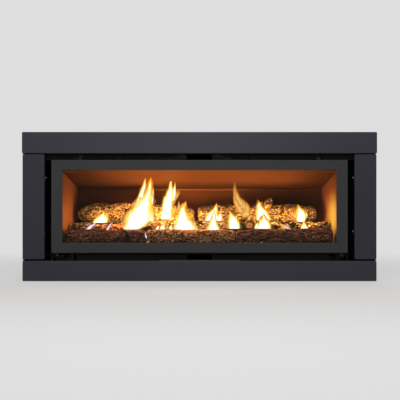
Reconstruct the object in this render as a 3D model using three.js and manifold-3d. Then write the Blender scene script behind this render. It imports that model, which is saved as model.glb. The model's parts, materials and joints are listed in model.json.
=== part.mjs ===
// Landscape gas log fireplace insert: sheet-metal casing and firebox, folded surround with a drop-down flap,
// hinged glass door, burner with ceramic logs, gas train and cross-flow fan.
// Millimetres, +Z up, the front faces -Y, +X to the right seen from the front.
// Inside the builders y = 0 is the front face of the surround; the group moves it so that the origin is in
// the middle.

import * as THREE from "three";
import { mergeVertices } from "three/addons/utils/BufferGeometryUtils.js";
import Module from "manifold-3d";

const wasm = await Module();
wasm.setup();

// ---- driving dimensions ----

const seatGap = 0.3; // between pieces that rest on each other
const runGap = 0.6; // round pieces that turn or slide

const surround = {
  width: 1300,
  flapInset: 2, // end of the flap in from the end of the top rail
  topHeight: 78,
  stileHeight: 384,
  stileWidth: 80,
  stileInset: 2.2, // stile edge back from the end of the top rail
  flapHeight: 74,
  seam: 4, // between the top rail and the stiles
  flapGap: 6, // between the stiles and the flap
  floorGap: 2,
  depth: 18,
  sheet: 2,
  cornerRadius: 3,
  edgeRound: 1.2,
  studRadius: 3.2,
  studLength: 3,
  studSpacing: 198,
};
const flapHinge = {
  endInset: 92, // hinge place in from the end of the flap
  y: 7, // pin axis behind the front face
  z: 6, // pin axis above the flap's lower edge
  pinRadius: 2,
  armWidth: 14,
  armHeight: 8,
  earThickness: 2.5,
  earRadius: 5,
  footLength: 30,
};
const fingerLift = { halfLength: 155, height: 3, slope: 12 };

const airGap = { side: 24.3, top: 24, bottom: 29 }; // between the surround and the door

const door = {
  sideFace: 41,
  topFace: 37,
  bottomFace: 38,
  frontY: 6,
  depth: 22,
  sheet: 3,
  lip: 18,
  edgeRound: 0.8,
  mitreReach: 60, // how far the mitre cuts reach past the members
};
const glassPane = { thickness: 4, overlap: 14 };
const retainer = { thickness: 2, height: 16, sideGap: 30, overlap: 4 };
const gasket = { thickness: 9.4, width: 10, bevel: 2.6, inset: 7 };
const hook = { endInset: 103.5, width: 12, pinRadius: 3, wall: 4.5, earThickness: 2, rise: 6, setback: 8 };
const doorClip = {
  endInset: 18.5, // tongue in from the side of the door
  width: 10,
  blade: 3,
  leaf: 1.5,
  drop: 14,
  reach: 20,
  wallGap: 36.8, // middle of the post from the casing's side
  postWidth: 9,
  sheet: 2,
  footLength: 22,
};

const casing = {
  sideMargin: 18, // inner face of the casing outside the surround's opening
  topMargin: 48,
  depth: 420,
  sheet: 2,
  skidHeight: 6,
  skidWidth: 40,
  skidOffsetX: 430,
  skidInset: 12,
  wallFlangeTop: 26,
  shelfWidth: 84,
  shelfStart: 62,
  shelfLip: 12,
  rearMargin: 20,
  hem: 10, // folded edges of the side panels
  ventDrop: 78, // middle of the louvre rows below the casing's top
  ventMargin: 60,
  slotLength: 60,
  slotWidth: 6,
  slotPitch: 12,
  slotCount: 4,
  backColumns: 5,
  backRows: 3,
  backPitch: 150,
  seamLap: 8, // front flange below the top of the flap, behind the seam
};
const upperPlate = {
  y: 34,
  sheet: 2,
  slotInset: 76.5, // end of the slot in from the side of the door
  slotHeight: 8,
  notchHalf: 9,
  notchTop: 22,
  scoopTop: 76,
  scoopFoot: 128,
  wingWidth: 2.4,
  wingDepth: 10,
};
const lowerPlate = {
  inletWidth: 135.8, // from its end to the casing's side
  sheet: 2,
  topGap: 1,
  reliefFoot: 172,
  reliefTop: 46,
  reliefDepth: 9,
};

const firebox = {
  frontY: 38,
  depth: 314,
  sheet: 2,
  doorInset: 21.5, // front edge in from the side of the door
  splay: 26,
  floorBelowDoor: 8,
  topBelowDoor: 6,
  flangeWidth: 22,
  lipHeight: 25,
  upstand: 40,
};
const baffle = {
  thickness: 3,
  frontY: 72,
  frontDrop: 25,
  rearDrop: 92,
  ledge: 9,
  ledgeLip: 9, // fold down from the front edge of the ledge
  sideGap: 22,
  lip: 10,
  bracketLap: 12, // of the bracket under the front corner of the baffle
  bracketDepth: 24,
  bracketSheet: 2.5,
};
const flue = {
  innerRadius: 50,
  outerRadius: 75,
  wall: 2,
  y: 262,
  innerRise: 47, // top of the inner pipe above the casing's top
  outerHeight: 26,
  flange: 12,
  flangeThickness: 2,
  sides: 20,
};
const relief = {
  fromSide: 192, // middle of the port in from the firebox's side
  y: 210,
  length: 120,
  width: 64,
  overlap: 8,
  thickness: 2,
  pinRadius: 1.6,
  knuckle: 3.6,
  postWidth: 6,
  pinOverhang: 8,
};

// the tray's left end leaves room for the mixing tube
const tray = { leftGap: 96, frontY: 92, rearGap: 34, height: 30, sheet: 2 };
const deck = {
  sideGap: 30, // end in from the firebox's side
  sheet: 2,
  frontY: 84,
  rearGap: 30, // to the back of the firebox
  stepY: [164, 224], // where the first and the second riser start
  riser: 4,
  stepHeight: [2, 46, 78], // the three levels above the tray's rim
  slotLength: 24,
  slotWidth: 4,
  slotPitch: 52,
  slotInset: 40, // no slot nearer to the end
  slotMargin: [5, 2], // from the first and the second riser
};
const venturi = { length: 140, bore: 8, wall: 2, bell: 13, bellLength: 16, y: 205, height: 14, overhang: 74 };
const injector = { gap: 15, nozzleRadius: 6, nozzleStart: 4, nozzleLength: 8, pipeEnd: 17 };
const shutter = {
  length: 16,
  wall: 1.8,
  tab: 12,
  tabWidth: 6,
  tabThickness: 3,
  windowEdge: 4,
  windowHeight: 8,
};
const gasPipe = { radius: 4, bend: 14 };
const valve = {
  fromSide: 245.8, // from the casing's left side
  y: 78,
  width: 74,
  depth: 62,
  height: 50,
  base: 20,
  shaftRadius: 3.5,
  knobZ: 46,
  socketDepth: 10,
  outletY: 44, // middle of the outlet behind the valve's front
  outletZ: 34, // above the valve's base
  bossRadius: 14,
  screwCap: { radius: 11, height: 12, x: 18, y: 30 }, // regulator cap on top, off the shaft
  legHalf: 20,
  legInset: 10,
  footHalf: 32,
  footSheet: 2,
  footInset: 6,
};
const cock = {
  fromSide: 105.8,
  y: 66,
  z: 40,
  bodyRadius: 11,
  length: 34,
  stemRadius: 4,
  leverLength: 38,
  leverWidth: 10,
  leverThickness: 3,
  pipeRadius: 6,
  pipeBore: 4.2,
  boreDepth: 12,
  stubLength: 14, // of the inlet pipe outside the casing
};
// rows of the fire bed: the front logs from the deck's front, the embers and the back logs from the risers
const domeTip = 0.45; // share of the section left at the tip of a rounded log end
const fireRows = { front: 28, embers: 29, back: 50, layoutHalf: 492 };
const pilot = { share: -0.4126, y: 148, hoodRadius: 6, height: 36 }; // share of the deck's half length

const fan = {
  length: 300,
  rearGap: 36, // from the rotor's axis to the casing's back
  axisHeight: 40, // above the base pan
  rotorRadius: 24,
  bladeCount: 16,
  bladeDepth: 8,
  bladeThickness: 1.2,
  disc: 2,
  shaftRadius: 3,
  tipGap: 2.5,
  sheet: 2,
  motorRadius: 24,
  motorLength: 48,
  tongueReach: 30, // front edge of the tongue before the axis
  tongueRise: 14,
  motorFoot: { width: 24, depth: 24 },
  socketDepth: 12, // of the shaft's bore in the motor
};

const panel = { fromSide: 193.8, width: 176, bottom: 22, top: 70, thickness: 2 };
const knob = { radius: 15, depth: 9, flutes: 12, fluteDepth: 1 };
const igniter = { fromEnd: 74, radius: 7, depth: 6, collar: 2.5, travel: 3 };
const rocker = { fromEnd: 30, width: 14, height: 22, depth: 7, clearance: 2 };

// ---- places that follow from the sizes ----

const openHalf = surround.width / 2 - surround.stileInset - surround.stileWidth;
const flapTop = surround.floorGap + surround.flapHeight;
const stileBottom = flapTop + surround.flapGap;
const stileTop = stileBottom + surround.stileHeight;
const openTop = stileTop + surround.seam;
const surroundTop = openTop + surround.topHeight;

const doorHalf = openHalf - airGap.side;
const hookX = doorHalf - hook.endInset;
const clipX = doorHalf - doorClip.endInset;
const flapHalf = surround.width / 2 - surround.flapInset;
const flapHingeX = flapHalf - flapHinge.endInset;
const doorBottom = flapTop + airGap.bottom;
const doorTop = openTop - airGap.top;
const doorRear = door.frontY + door.depth;
const viewHalf = doorHalf - door.sideFace;
const viewBottom = doorBottom + door.bottomFace;
const viewTop = doorTop - door.topFace;

const casingHalf = openHalf + casing.sideMargin;
const casingFront = surround.depth + seatGap;
const panTop = casing.skidHeight + casing.sheet;
const casingTop = openTop + casing.topMargin;
const postX = casingHalf - doorClip.wallGap;
const lowerHalf = casingHalf - lowerPlate.inletWidth;

const boxFloor = doorBottom - firebox.floorBelowDoor; // underside of the firebox floor
const boxFloorTop = boxFloor + firebox.sheet;
const boxTop = doorTop - firebox.topBelowDoor; // underside of the firebox top
const boxBack = firebox.frontY + firebox.depth;
const frontHalf = doorHalf - firebox.doorInset;
const backHalf = frontHalf - firebox.splay;
const baffleHalf = backHalf - baffle.sideGap;
const reliefX = frontHalf - relief.fromSide;
const hookPin = { y: doorRear + hook.setback, z: doorTop + hook.rise };

const deckHalf = frontHalf - deck.sideGap;
const deckRear = boxBack - deck.rearGap;
const trayRear = boxBack - tray.rearGap;
const trayLeft = tray.leftGap - deckHalf;
const trayRim = boxFloorTop + seatGap + tray.height;
const levels = deck.stepHeight.map((height) => trayRim + seatGap + height);
const venturiStart = trayLeft - venturi.overhang;
const venturiZ = boxFloorTop + seatGap + venturi.height;
const injectorX = venturiStart - injector.gap;
const pilotX = pilot.share * deckHalf;

const valveX = valve.fromSide - casingHalf;
const cockX = cock.fromSide - casingHalf;
const panelRight = panel.fromSide + panel.width - casingHalf;
const igniterX = panelRight - igniter.fromEnd;
const rockerX = panelRight - rocker.fromEnd;
const pipeY = valve.y + valve.outletY;
const pipeZ = valve.base + valve.outletZ;
const cockPipeY = cock.y + cock.bodyRadius + 12;
const leverY = cockPipeY - cock.bodyRadius - 2 * cock.leverThickness - seatGap;
const fanY = casing.depth - fan.rearGap;

// ---- finishes ----

const finish = (color, roughness, metalness) =>
  new THREE.MeshStandardMaterial({ color, roughness, metalness });
const charcoal = finish(0x3a3940, 0.55, 0.3);
const doorGrey = finish(0x3b3a3d, 0.6, 0.3);
const blackSteel = finish(0x151516, 0.6, 0.4);
const galvanised = finish(0x8d9092, 0.45, 0.8);
const enamel = finish(0x2b1a12, 0.35, 0.2);
const clearGlass = finish(0xbfc6c8, 0.05, 0);
const bark = finish(0x5a3a26, 0.95, 0);
const ember = finish(0x4a2a1c, 0.95, 0);
const brass = finish(0xb08d4a, 0.35, 0.9);
const copper = finish(0xa5663f, 0.4, 0.9);
const rope = finish(0x3a3a38, 1, 0);
const knobBlack = finish(0x18181a, 0.45, 0);
const castGrey = finish(0x77797b, 0.5, 0.7);
const leverYellow = finish(0xb7a13a, 0.5, 0.2);

// ---- shape tools ----

// A closed geometry as a solid that can be joined and cut.
function solidOf(geometry) {
  const bare = geometry.index ? geometry.toNonIndexed() : geometry.clone();
  bare.deleteAttribute("normal");
  bare.deleteAttribute("uv");
  const merged = mergeVertices(bare, 1e-4);
  return new wasm.Manifold(
    new wasm.Mesh({
      numProp: 3,
      vertProperties: new Float32Array(merged.attributes.position.array),
      triVerts: new Uint32Array(merged.index.array),
    }),
  );
}

function geometryOf(solid) {
  const { vertProperties, triVerts } = solid.getMesh();
  const geometry = new THREE.BufferGeometry();
  geometry.setAttribute("position", new THREE.BufferAttribute(vertProperties, 3));
  geometry.setIndex(new THREE.BufferAttribute(triVerts, 1));
  const flat = geometry.toNonIndexed();
  flat.computeVertexNormals();
  return flat;
}

const join = (...solids) => solids.reduce((all, solid) => all.add(solid));
const cut = (body, ...tools) => tools.reduce((rest, tool) => rest.subtract(tool), body);

function block(x0, x1, y0, y1, z0, z1) {
  const box = new THREE.BoxGeometry(x1 - x0, y1 - y0, z1 - z0);
  return solidOf(box.translate((x0 + x1) / 2, (y0 + y1) / 2, (z0 + z1) / 2));
}

const outline = (points) => new THREE.Shape(points.map(([a, b]) => new THREE.Vector2(a, b)));

function roundedOutline(a0, a1, b0, b1, radius) {
  const shape = new THREE.Shape();
  shape.absarc(a1 - radius, b1 - radius, radius, 0, Math.PI / 2);
  shape.absarc(a0 + radius, b1 - radius, radius, Math.PI / 2, Math.PI);
  shape.absarc(a0 + radius, b0 + radius, radius, Math.PI, 1.5 * Math.PI);
  shape.absarc(a1 - radius, b0 + radius, radius, 1.5 * Math.PI, 2 * Math.PI);
  return shape;
}

const extrusion = (shape, depth, options) =>
  new THREE.ExtrudeGeometry(shape, { depth, bevelEnabled: false, curveSegments: 2, ...options });

// A (y, z) outline pushed along x, an (x, z) outline along y, an (x, y) outline along z.
const alongX = new THREE.Matrix4().set(0, 0, 1, 0, 1, 0, 0, 0, 0, 1, 0, 0, 0, 0, 0, 1);
const alongY = new THREE.Matrix4().set(1, 0, 0, 0, 0, 0, -1, 0, 0, 1, 0, 0, 0, 0, 0, 1);
const pushX = (shape, x0, x1, options) =>
  solidOf(extrusion(shape, x1 - x0, options).applyMatrix4(alongX).translate(x0, 0, 0));
const pushY = (shape, y0, y1, options) =>
  solidOf(extrusion(shape, y1 - y0, options).applyMatrix4(alongY).translate(0, y1, 0));
const pushZ = (shape, z0, z1, options) => solidOf(extrusion(shape, z1 - z0, options).translate(0, 0, z0));

// A round bar between two places on one axis: "x", "y" or "z".
function bar(axis, radius, from, to, across, sides = 20) {
  const length = to - from;
  const geometry = new THREE.CylinderGeometry(radius, radius, length, sides);
  if (axis === "x") geometry.rotateZ(-Math.PI / 2).translate(from + length / 2, across[0], across[1]);
  if (axis === "y") geometry.translate(across[0], from + length / 2, across[1]);
  if (axis === "z") geometry.rotateX(Math.PI / 2).translate(across[0], across[1], from + length / 2);
  return solidOf(geometry);
}

// A pipe through the given corners, each corner rounded by the bend radius.
function pipe(corners, radius, bend, steps, halfSides = 4) {
  const points = corners.map((corner) => new THREE.Vector3(...corner));
  const path = new THREE.CurvePath();
  let from = points[0];
  points.slice(1, -1).forEach((corner, i) => {
    const before = corner.clone().add(points[i].clone().sub(corner).setLength(bend));
    const after = corner.clone().add(points[i + 2].clone().sub(corner).setLength(bend));
    path.add(new THREE.LineCurve3(from, before));
    path.add(new THREE.QuadraticBezierCurve3(before, corner, after));
    from = after;
  });
  path.add(new THREE.LineCurve3(from, points[points.length - 1]));
  const ring = new THREE.Shape().absarc(0, 0, radius, 0, 2 * Math.PI);
  return solidOf(new THREE.ExtrudeGeometry(ring, { steps, curveSegments: halfSides, extrudePath: path }));
}

// Row of places centred on zero.
const row = (count, pitch) => Array.from({ length: count }, (_, i) => (i - (count - 1) / 2) * pitch);

const insert = new THREE.Group();
insert.position.y = -casing.depth / 2;

function place(name, solid, material) {
  const mesh = new THREE.Mesh(geometryOf(solid), material);
  mesh.name = name;
  insert.add(mesh);
}

const mirrored = (solid) => solid.mirror([1, 0, 0]);

// ---- surround ----

// Folded panel: front sheet with rounded edges and four returns, open at the back.
function foldedPanel(x0, x1, z0, z1) {
  const { depth, sheet, cornerRadius, edgeRound } = surround;
  const bevel = { bevelEnabled: true, bevelSize: edgeRound, bevelThickness: edgeRound, bevelSegments: 2 };
  const shape = roundedOutline(x0 + edgeRound, x1 - edgeRound, z0 + edgeRound, z1 - edgeRound, cornerRadius);
  const body = pushY(shape, edgeRound, depth + edgeRound, bevel);
  const rear = block(x0 - 1, x1 + 1, depth, depth + 4 * edgeRound, z0 - 1, z1 + 1);
  const hollow = block(x0 + sheet, x1 - sheet, sheet, depth + edgeRound, z0 + sheet, z1 - sheet);
  return cut(body, rear, hollow);
}

function buildSurround() {
  const half = surround.width / 2;
  place("top_rail", foldedPanel(-half, half, openTop, surroundTop), charcoal);
  const middle = (stileBottom + stileTop) / 2;
  const studEnd = openHalf - surround.studLength;
  const studs = row(2, surround.studSpacing).map((z) =>
    bar("x", surround.studRadius, studEnd, openHalf + 1, [surround.depth / 2, middle + z], 8),
  );
  const stile = join(
    foldedPanel(openHalf, openHalf + surround.stileWidth, stileBottom, stileTop),
    ...studs,
  );
  place("right_stile", stile, charcoal);
  place("left_stile", mirrored(stile), charcoal);
}

// The flap turns on two pins inside its lower edge, which the brackets on the base pan carry.
function buildFlap() {
  const half = flapHalf;
  const bottom = surround.floorGap;
  const pinZ = bottom + flapHinge.z;
  const { halfLength, height, slope } = fingerLift;
  const lift = pushY(
    outline([
      [-halfLength, flapTop - surround.sheet],
      [halfLength, flapTop - surround.sheet],
      [halfLength, flapTop],
      [halfLength - slope, flapTop + height],
      [slope - halfLength, flapTop + height],
      [-halfLength, flapTop],
    ]),
    surround.edgeRound,
    surround.edgeRound + surround.sheet,
  );
  const slotHalf = flapHinge.armWidth / 2 + runGap;
  // the lower return is cut back so that it passes the base pan as the flap turns
  const swing = casingFront - runGap - flapHinge.y;
  const returnEnd = flapHinge.y + Math.sqrt(swing ** 2 - flapHinge.z ** 2);
  const returnTop = bottom + surround.sheet + 1;
  const cutBack = block(-half - 1, half + 1, returnEnd, surround.depth + 1, bottom - 1, returnTop);
  let flap = join(cut(foldedPanel(-half, half, bottom, flapTop), cutBack), lift);
  for (const side of [-1, 1]) {
    const x = side * flapHingeX;
    flap = cut(
      flap,
      block(x - slotHalf, x + slotHalf, surround.sheet, surround.depth + 1, bottom - 1, returnTop),
    );
    for (const end of [-1, 1]) {
      const inner = x + end * slotHalf;
      const outer = inner + end * flapHinge.earThickness;
      const x0 = Math.min(inner, outer);
      const x1 = Math.max(inner, outer);
      const ear = join(
        bar("x", flapHinge.earRadius, x0, x1, [flapHinge.y, pinZ], 12),
        block(x0, x1, surround.sheet / 2, flapHinge.y, bottom + 1, pinZ + flapHinge.earRadius),
      );
      flap = join(flap, ear);
    }
    const hole = slotHalf + flapHinge.earThickness + 1;
    flap = cut(flap, bar("x", flapHinge.pinRadius + seatGap, x - hole, x + hole, [flapHinge.y, pinZ], 12));
  }
  place("lower_flap", flap, charcoal);

  const pinHalf = slotHalf + flapHinge.earThickness;
  const armHalf = flapHinge.armWidth / 2;
  const armLow = pinZ - flapHinge.armHeight / 2 + 1;
  const armHigh = pinZ + flapHinge.armHeight / 2;
  const footLow = panTop + seatGap;
  const footTop = footLow + casing.sheet;
  const bracket = (x) =>
    join(
      bar("x", flapHinge.pinRadius, x - pinHalf, x + pinHalf, [flapHinge.y, pinZ], 12),
      bar("x", flapHinge.armHeight / 2, x - armHalf, x + armHalf, [flapHinge.y, pinZ], 12),
      block(x - armHalf, x + armHalf, flapHinge.y, casingFront - seatGap, armLow, armHigh),
      block(x - armHalf, x + armHalf, flapHinge.y, casingFront + casing.sheet, footLow, armHigh),
      block(x - armHalf, x + armHalf, flapHinge.y, casingFront + flapHinge.footLength, footLow, footTop),
    );
  place("flap_bracket_left", bracket(-flapHingeX), blackSteel);
  place("flap_bracket_right", bracket(flapHingeX), blackSteel);
}

// ---- casing ----

function buildCasing() {
  const { depth, sheet, skidHeight, skidWidth, skidOffsetX, skidInset, shelfStart, rearMargin, hem } = casing;
  const outer = casingHalf + sheet;
  const skidHalf = skidWidth / 2;
  const skid = (x) =>
    block(x - skidHalf, x + skidHalf, casingFront + skidInset, depth - skidInset, 0, skidHeight + 0.5);
  place(
    "base_pan",
    join(block(-outer, outer, casingFront, depth, skidHeight, panTop), skid(-skidOffsetX), skid(skidOffsetX)),
    galvanised,
  );

  const low = panTop + seatGap;
  const high = casingTop - seatGap;
  const ventHeights = row(casing.slotCount, casing.slotPitch);
  const flangeHalf = surround.width / 2 - surround.stileInset;
  const shelfTop = boxFloor - seatGap;
  const shelfEdge = outer - casing.shelfWidth;
  const shelfEnd = depth - rearMargin;
  const ventMiddle = casingTop - casing.ventDrop;
  const ventRear = depth - casing.ventMargin;
  const ventFront = ventRear - casing.slotLength;
  const louvre = (x0, x1, y0, y1, z) =>
    block(x0, x1, y0, y1, ventMiddle + z, ventMiddle + z + casing.slotWidth);
  const vents = ventHeights.map((z) => louvre(casingHalf - 1, outer + 1, ventFront, ventRear, z));
  const inletHole = bar("x", cock.pipeRadius + 2, casingHalf - 1, outer + 1, [cockPipeY, cock.z], 16);
  const side = cut(
    join(
      block(casingHalf, outer, casingFront, depth, low, high),
      block(casingHalf, flangeHalf, casingFront, casingFront + sheet, flapTop - casing.seamLap, high),
      block(casingHalf - hem, outer, depth - 2 * sheet - seatGap, depth - sheet - seatGap, low, high),
      block(shelfEdge, casingHalf + 0.5, shelfStart, shelfEnd, shelfTop - sheet, shelfTop),
      block(shelfEdge, shelfEdge + sheet, shelfStart, shelfEnd, shelfTop - casing.shelfLip, shelfTop),
    ),
    ...vents,
  );
  place("casing_right", side, galvanised);
  place("casing_left", mirrored(cut(side, inletHole)), galvanised);

  const backHalfWidth = casingHalf - seatGap;
  const slotHalf = casing.slotLength / 2;
  const backHeights = row(casing.backRows, casing.slotPitch);
  const backSlots = row(casing.backColumns, casing.backPitch).flatMap((x) =>
    backHeights.map((z) => louvre(x - slotHalf, x + slotHalf, depth - sheet - 1, depth + 1, z)),
  );
  place(
    "casing_back",
    cut(block(-backHalfWidth, backHalfWidth, depth - sheet, depth, low, high), ...backSlots),
    galvanised,
  );

  const flueHole = bar("z", flue.innerRadius + 14, casingTop - 1, casingTop + sheet + 1, [0, flue.y], 20);
  place(
    "casing_top",
    cut(
      join(
        block(-outer, outer, casingFront, depth, casingTop, casingTop + sheet),
        block(-outer, outer, casingFront, casingFront + sheet, casingTop, casingTop + casing.wallFlangeTop),
      ),
      flueHole,
    ),
    galvanised,
  );
}

// Upright plate behind the top of the surround: warm air leaves through the long slot above the door.
function buildUpperPlate() {
  const half = casingHalf - seatGap;
  const low = doorTop + 1;
  const slotTop = doorTop + upperPlate.slotHeight;
  const high = casingTop - seatGap;
  const y1 = upperPlate.y + upperPlate.sheet;
  const { notchHalf, notchTop, scoopTop, scoopFoot, wingWidth, wingDepth } = upperPlate;
  const slotHalf = doorHalf - upperPlate.slotInset;
  const scoopHigh = openTop - 2;
  const notch = (x) =>
    block(x - notchHalf, x + notchHalf, upperPlate.y - 1, y1 + 1, low - 1, doorTop + notchTop);
  const opening = pushY(
    outline([
      [-slotHalf, low - 1],
      [slotHalf, low - 1],
      [slotHalf, slotTop],
      [scoopFoot, slotTop],
      [scoopTop, scoopHigh],
      [-scoopTop, scoopHigh],
      [-scoopFoot, slotTop],
      [-slotHalf, slotTop],
    ]),
    upperPlate.y - 1,
    y1 + 1,
  );
  const wing = pushY(
    outline([
      [scoopFoot, slotTop - 0.5],
      [scoopFoot + wingWidth, slotTop - 0.5],
      [scoopTop + wingWidth, scoopHigh + 1],
      [scoopTop, scoopHigh + 1],
    ]),
    upperPlate.y,
    y1 + wingDepth,
  );
  place(
    "upper_air_plate",
    join(
      cut(block(-half, half, upperPlate.y, y1, low, high), opening, notch(-hookX), notch(hookX)),
      wing,
      mirrored(wing),
    ),
    blackSteel,
  );
}

// Upright plate below the door: it carries the controls and leaves an air inlet at each end.
function buildLowerPlate() {
  const y0 = upperPlate.y;
  const { sheet, topGap, reliefFoot, reliefTop, reliefDepth } = lowerPlate;
  const high = doorBottom - topGap;
  const reliefLow = flapTop - 4;
  const recess = (margin, from, to) =>
    pushY(
      outline([
        [-reliefFoot - margin, high + margin],
        [reliefTop - reliefFoot - margin, reliefLow - margin],
        [reliefFoot - reliefTop + margin, reliefLow - margin],
        [reliefFoot + margin, high + margin],
      ]),
      from,
      to,
    );
  const sheetPlate = block(-lowerHalf, lowerHalf, y0, y0 + sheet, panTop + seatGap, high);
  const above = block(-lowerHalf - 1, lowerHalf + 1, y0 - 1, firebox.frontY, high, high + reliefTop);
  const pocket = cut(recess(sheet, y0, firebox.frontY - seatGap), above);
  const well = recess(0, y0 - 1, firebox.frontY - seatGap - sheet / 2);
  const fingerHole = block(-reliefTop, reliefTop, y0 - 1, y0 + reliefDepth, reliefLow + 6, high + 9);
  const plate = cut(
    join(sheetPlate, pocket),
    well,
    fingerHole,
    bar("y", valve.shaftRadius + runGap, y0 - 5, y0 + 9, [valveX, valve.knobZ], 16),
    bar("y", igniter.radius + runGap, y0 - 5, y0 + 9, [igniterX, valve.knobZ], 16),
    block(
      rockerX - rocker.width / 2 - runGap,
      rockerX + rocker.width / 2 + runGap,
      y0 - 5,
      y0 + 9,
      valve.knobZ - rocker.height / 2 - rocker.clearance,
      valve.knobZ + rocker.height / 2 + rocker.clearance,
    ),
  );
  place("lower_air_plate", plate, blackSteel);
}

// ---- firebox ----

// Underside of the baffle at a depth: it slopes down from its front edge to the ledge of the back.
const baffleRearZ = boxTop - baffle.rearDrop + seatGap;
function baffleUnder(y) {
  const frontZ = boxTop - baffle.frontDrop - baffle.thickness;
  const run = boxBack - seatGap - baffle.ledge - baffle.frontY;
  return frontZ + ((baffleRearZ - frontZ) * (y - baffle.frontY)) / run;
}

function buildFirebox() {
  const { frontY, sheet, flangeWidth, lipHeight, upstand } = firebox;
  const low = boxFloorTop + seatGap;
  const high = boxTop - seatGap;
  const pipeHole = bar("z", gasPipe.radius + 2, boxFloor - 1, boxFloorTop + 1, [injectorX, venturi.y], 16);
  const floor = pushZ(
    outline([
      [-frontHalf, frontY],
      [frontHalf, frontY],
      [backHalf, boxBack],
      [-backHalf, boxBack],
    ]),
    boxFloor,
    boxFloorTop,
  );
  const front = block(-frontHalf + 2, frontHalf - 2, frontY, frontY + sheet, boxFloor, boxFloor + upstand);
  place("firebox_floor", cut(join(floor, front), pipeHole), enamel);

  const wall = pushZ(
    outline([
      [frontHalf + flangeWidth, frontY],
      [frontHalf + flangeWidth, frontY + sheet],
      [frontHalf + sheet, frontY + sheet],
      [backHalf + sheet, boxBack - seatGap],
      [backHalf, boxBack - seatGap],
      [frontHalf, frontY + sheet],
      [frontHalf, frontY],
    ]),
    low,
    high,
  );
  // bracket on the wall under the front corner of the baffle, sloping as the baffle does
  const bracketRear = baffle.frontY + baffle.bracketDepth;
  const wallAtBracket = frontHalf - (firebox.splay * (bracketRear - frontY)) / firebox.depth;
  const frontUnder = baffleUnder(baffle.frontY) - seatGap;
  const rearUnder = baffleUnder(bracketRear) - seatGap;
  const bracket = pushX(
    outline([
      [baffle.frontY, frontUnder - baffle.bracketSheet],
      [bracketRear, rearUnder - baffle.bracketSheet],
      [bracketRear, rearUnder],
      [baffle.frontY, frontUnder],
    ]),
    baffleHalf - baffle.bracketLap,
    wallAtBracket + sheet / 2,
  );
  place("firebox_right", join(wall, bracket), enamel);
  place("firebox_left", mirrored(join(wall, bracket)), enamel);

  const ledgeTop = boxTop - baffle.rearDrop;
  const ledgeFront = boxBack - baffle.ledge;
  const rearHalf = backHalf - seatGap - 1;
  place(
    "firebox_back",
    join(
      block(-backHalf - 1, backHalf + 1, boxBack, boxBack + sheet, low, high),
      block(-rearHalf, rearHalf, ledgeFront, boxBack + 1, ledgeTop - sheet, ledgeTop),
      block(-rearHalf, rearHalf, ledgeFront, ledgeFront + sheet, ledgeTop - baffle.ledgeLip, ledgeTop),
    ),
    enamel,
  );

  const ear = (x) =>
    cut(
      pushX(
        outline([
          [frontY - 9, boxTop + 1],
          [frontY + 12, boxTop + 1],
          [hookPin.y + 5, hookPin.z + 5],
          [hookPin.y - 5, hookPin.z + 5],
        ]),
        x,
        x + hook.earThickness,
      ),
      block(x - 1, x + hook.earThickness + 1, frontY - 20, frontY - 0.1, boxTop - 1, boxTop + 0.01),
    );
  const earHalf = hook.width / 2 + runGap;
  const hanger = (x) =>
    join(
      ear(x - earHalf - hook.earThickness),
      ear(x + earHalf),
      bar("x", hook.pinRadius, x - earHalf - hook.earThickness, x + earHalf + hook.earThickness, [
        hookPin.y,
        hookPin.z,
      ], 16),
    );
  const reliefHole = block(
    reliefX - relief.length / 2,
    reliefX + relief.length / 2,
    relief.y - relief.width / 2,
    relief.y + relief.width / 2,
    boxTop - 1,
    boxTop + sheet + 1,
  );
  const reliefPinY = relief.y + relief.width / 2 + relief.overlap + relief.knuckle;
  const reliefPinZ = boxTop + sheet + relief.knuckle + seatGap;
  const reliefPin = [reliefPinY, reliefPinZ];
  const pinHalf = relief.length / 2 + relief.pinOverhang;
  const postHalf = relief.postWidth / 2;
  const post = (x) =>
    join(
      bar("x", relief.knuckle, x - postHalf, x + postHalf, reliefPin, 16),
      block(
        x - postHalf,
        x + postHalf,
        reliefPinY - relief.knuckle,
        reliefPinY + relief.knuckle,
        boxTop + 1,
        reliefPinZ,
      ),
    );
  place(
    "firebox_top",
    join(
      cut(
        pushZ(
          outline([
            [-frontHalf, frontY],
            [frontHalf, frontY],
            [backHalf, boxBack],
            [-backHalf, boxBack],
          ]),
          boxTop,
          boxTop + sheet,
        ),
        reliefHole,
        bar("z", flue.innerRadius - flue.wall, boxTop - 1, boxTop + sheet + 1, [0, flue.y], 20),
      ),
      block(-frontHalf + 2, frontHalf - 2, frontY, frontY + sheet, boxTop - lipHeight, boxTop + 0.5),
      hanger(-hookX),
      hanger(hookX),
      bar("x", relief.pinRadius, reliefX - pinHalf, reliefX + pinHalf, reliefPin, 12),
      post(reliefX - pinHalf + postHalf),
      post(reliefX + pinHalf - postHalf),
    ),
    blackSteel,
  );

  const knuckleHalf = relief.length / 2 + 1;
  const lid = cut(
    join(
      block(
        reliefX - relief.length / 2 - relief.overlap,
        reliefX + relief.length / 2 + relief.overlap,
        relief.y - relief.width / 2 - relief.overlap,
        relief.y + relief.width / 2 + relief.overlap - 1,
        boxTop + sheet + seatGap,
        boxTop + sheet + seatGap + relief.thickness,
      ),
      block(
        reliefX - knuckleHalf,
        reliefX + knuckleHalf,
        relief.y + relief.width / 2,
        reliefPinY,
        boxTop + sheet + seatGap,
        boxTop + sheet + seatGap + relief.thickness,
      ),
      bar("x", relief.knuckle - seatGap, reliefX - knuckleHalf, reliefX + knuckleHalf, reliefPin, 16),
    ),
    bar("x", relief.pinRadius + seatGap, reliefX - knuckleHalf - 1, reliefX + knuckleHalf + 1, reliefPin, 12),
  );
  place("relief_flap", lid, galvanised);
}

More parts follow.
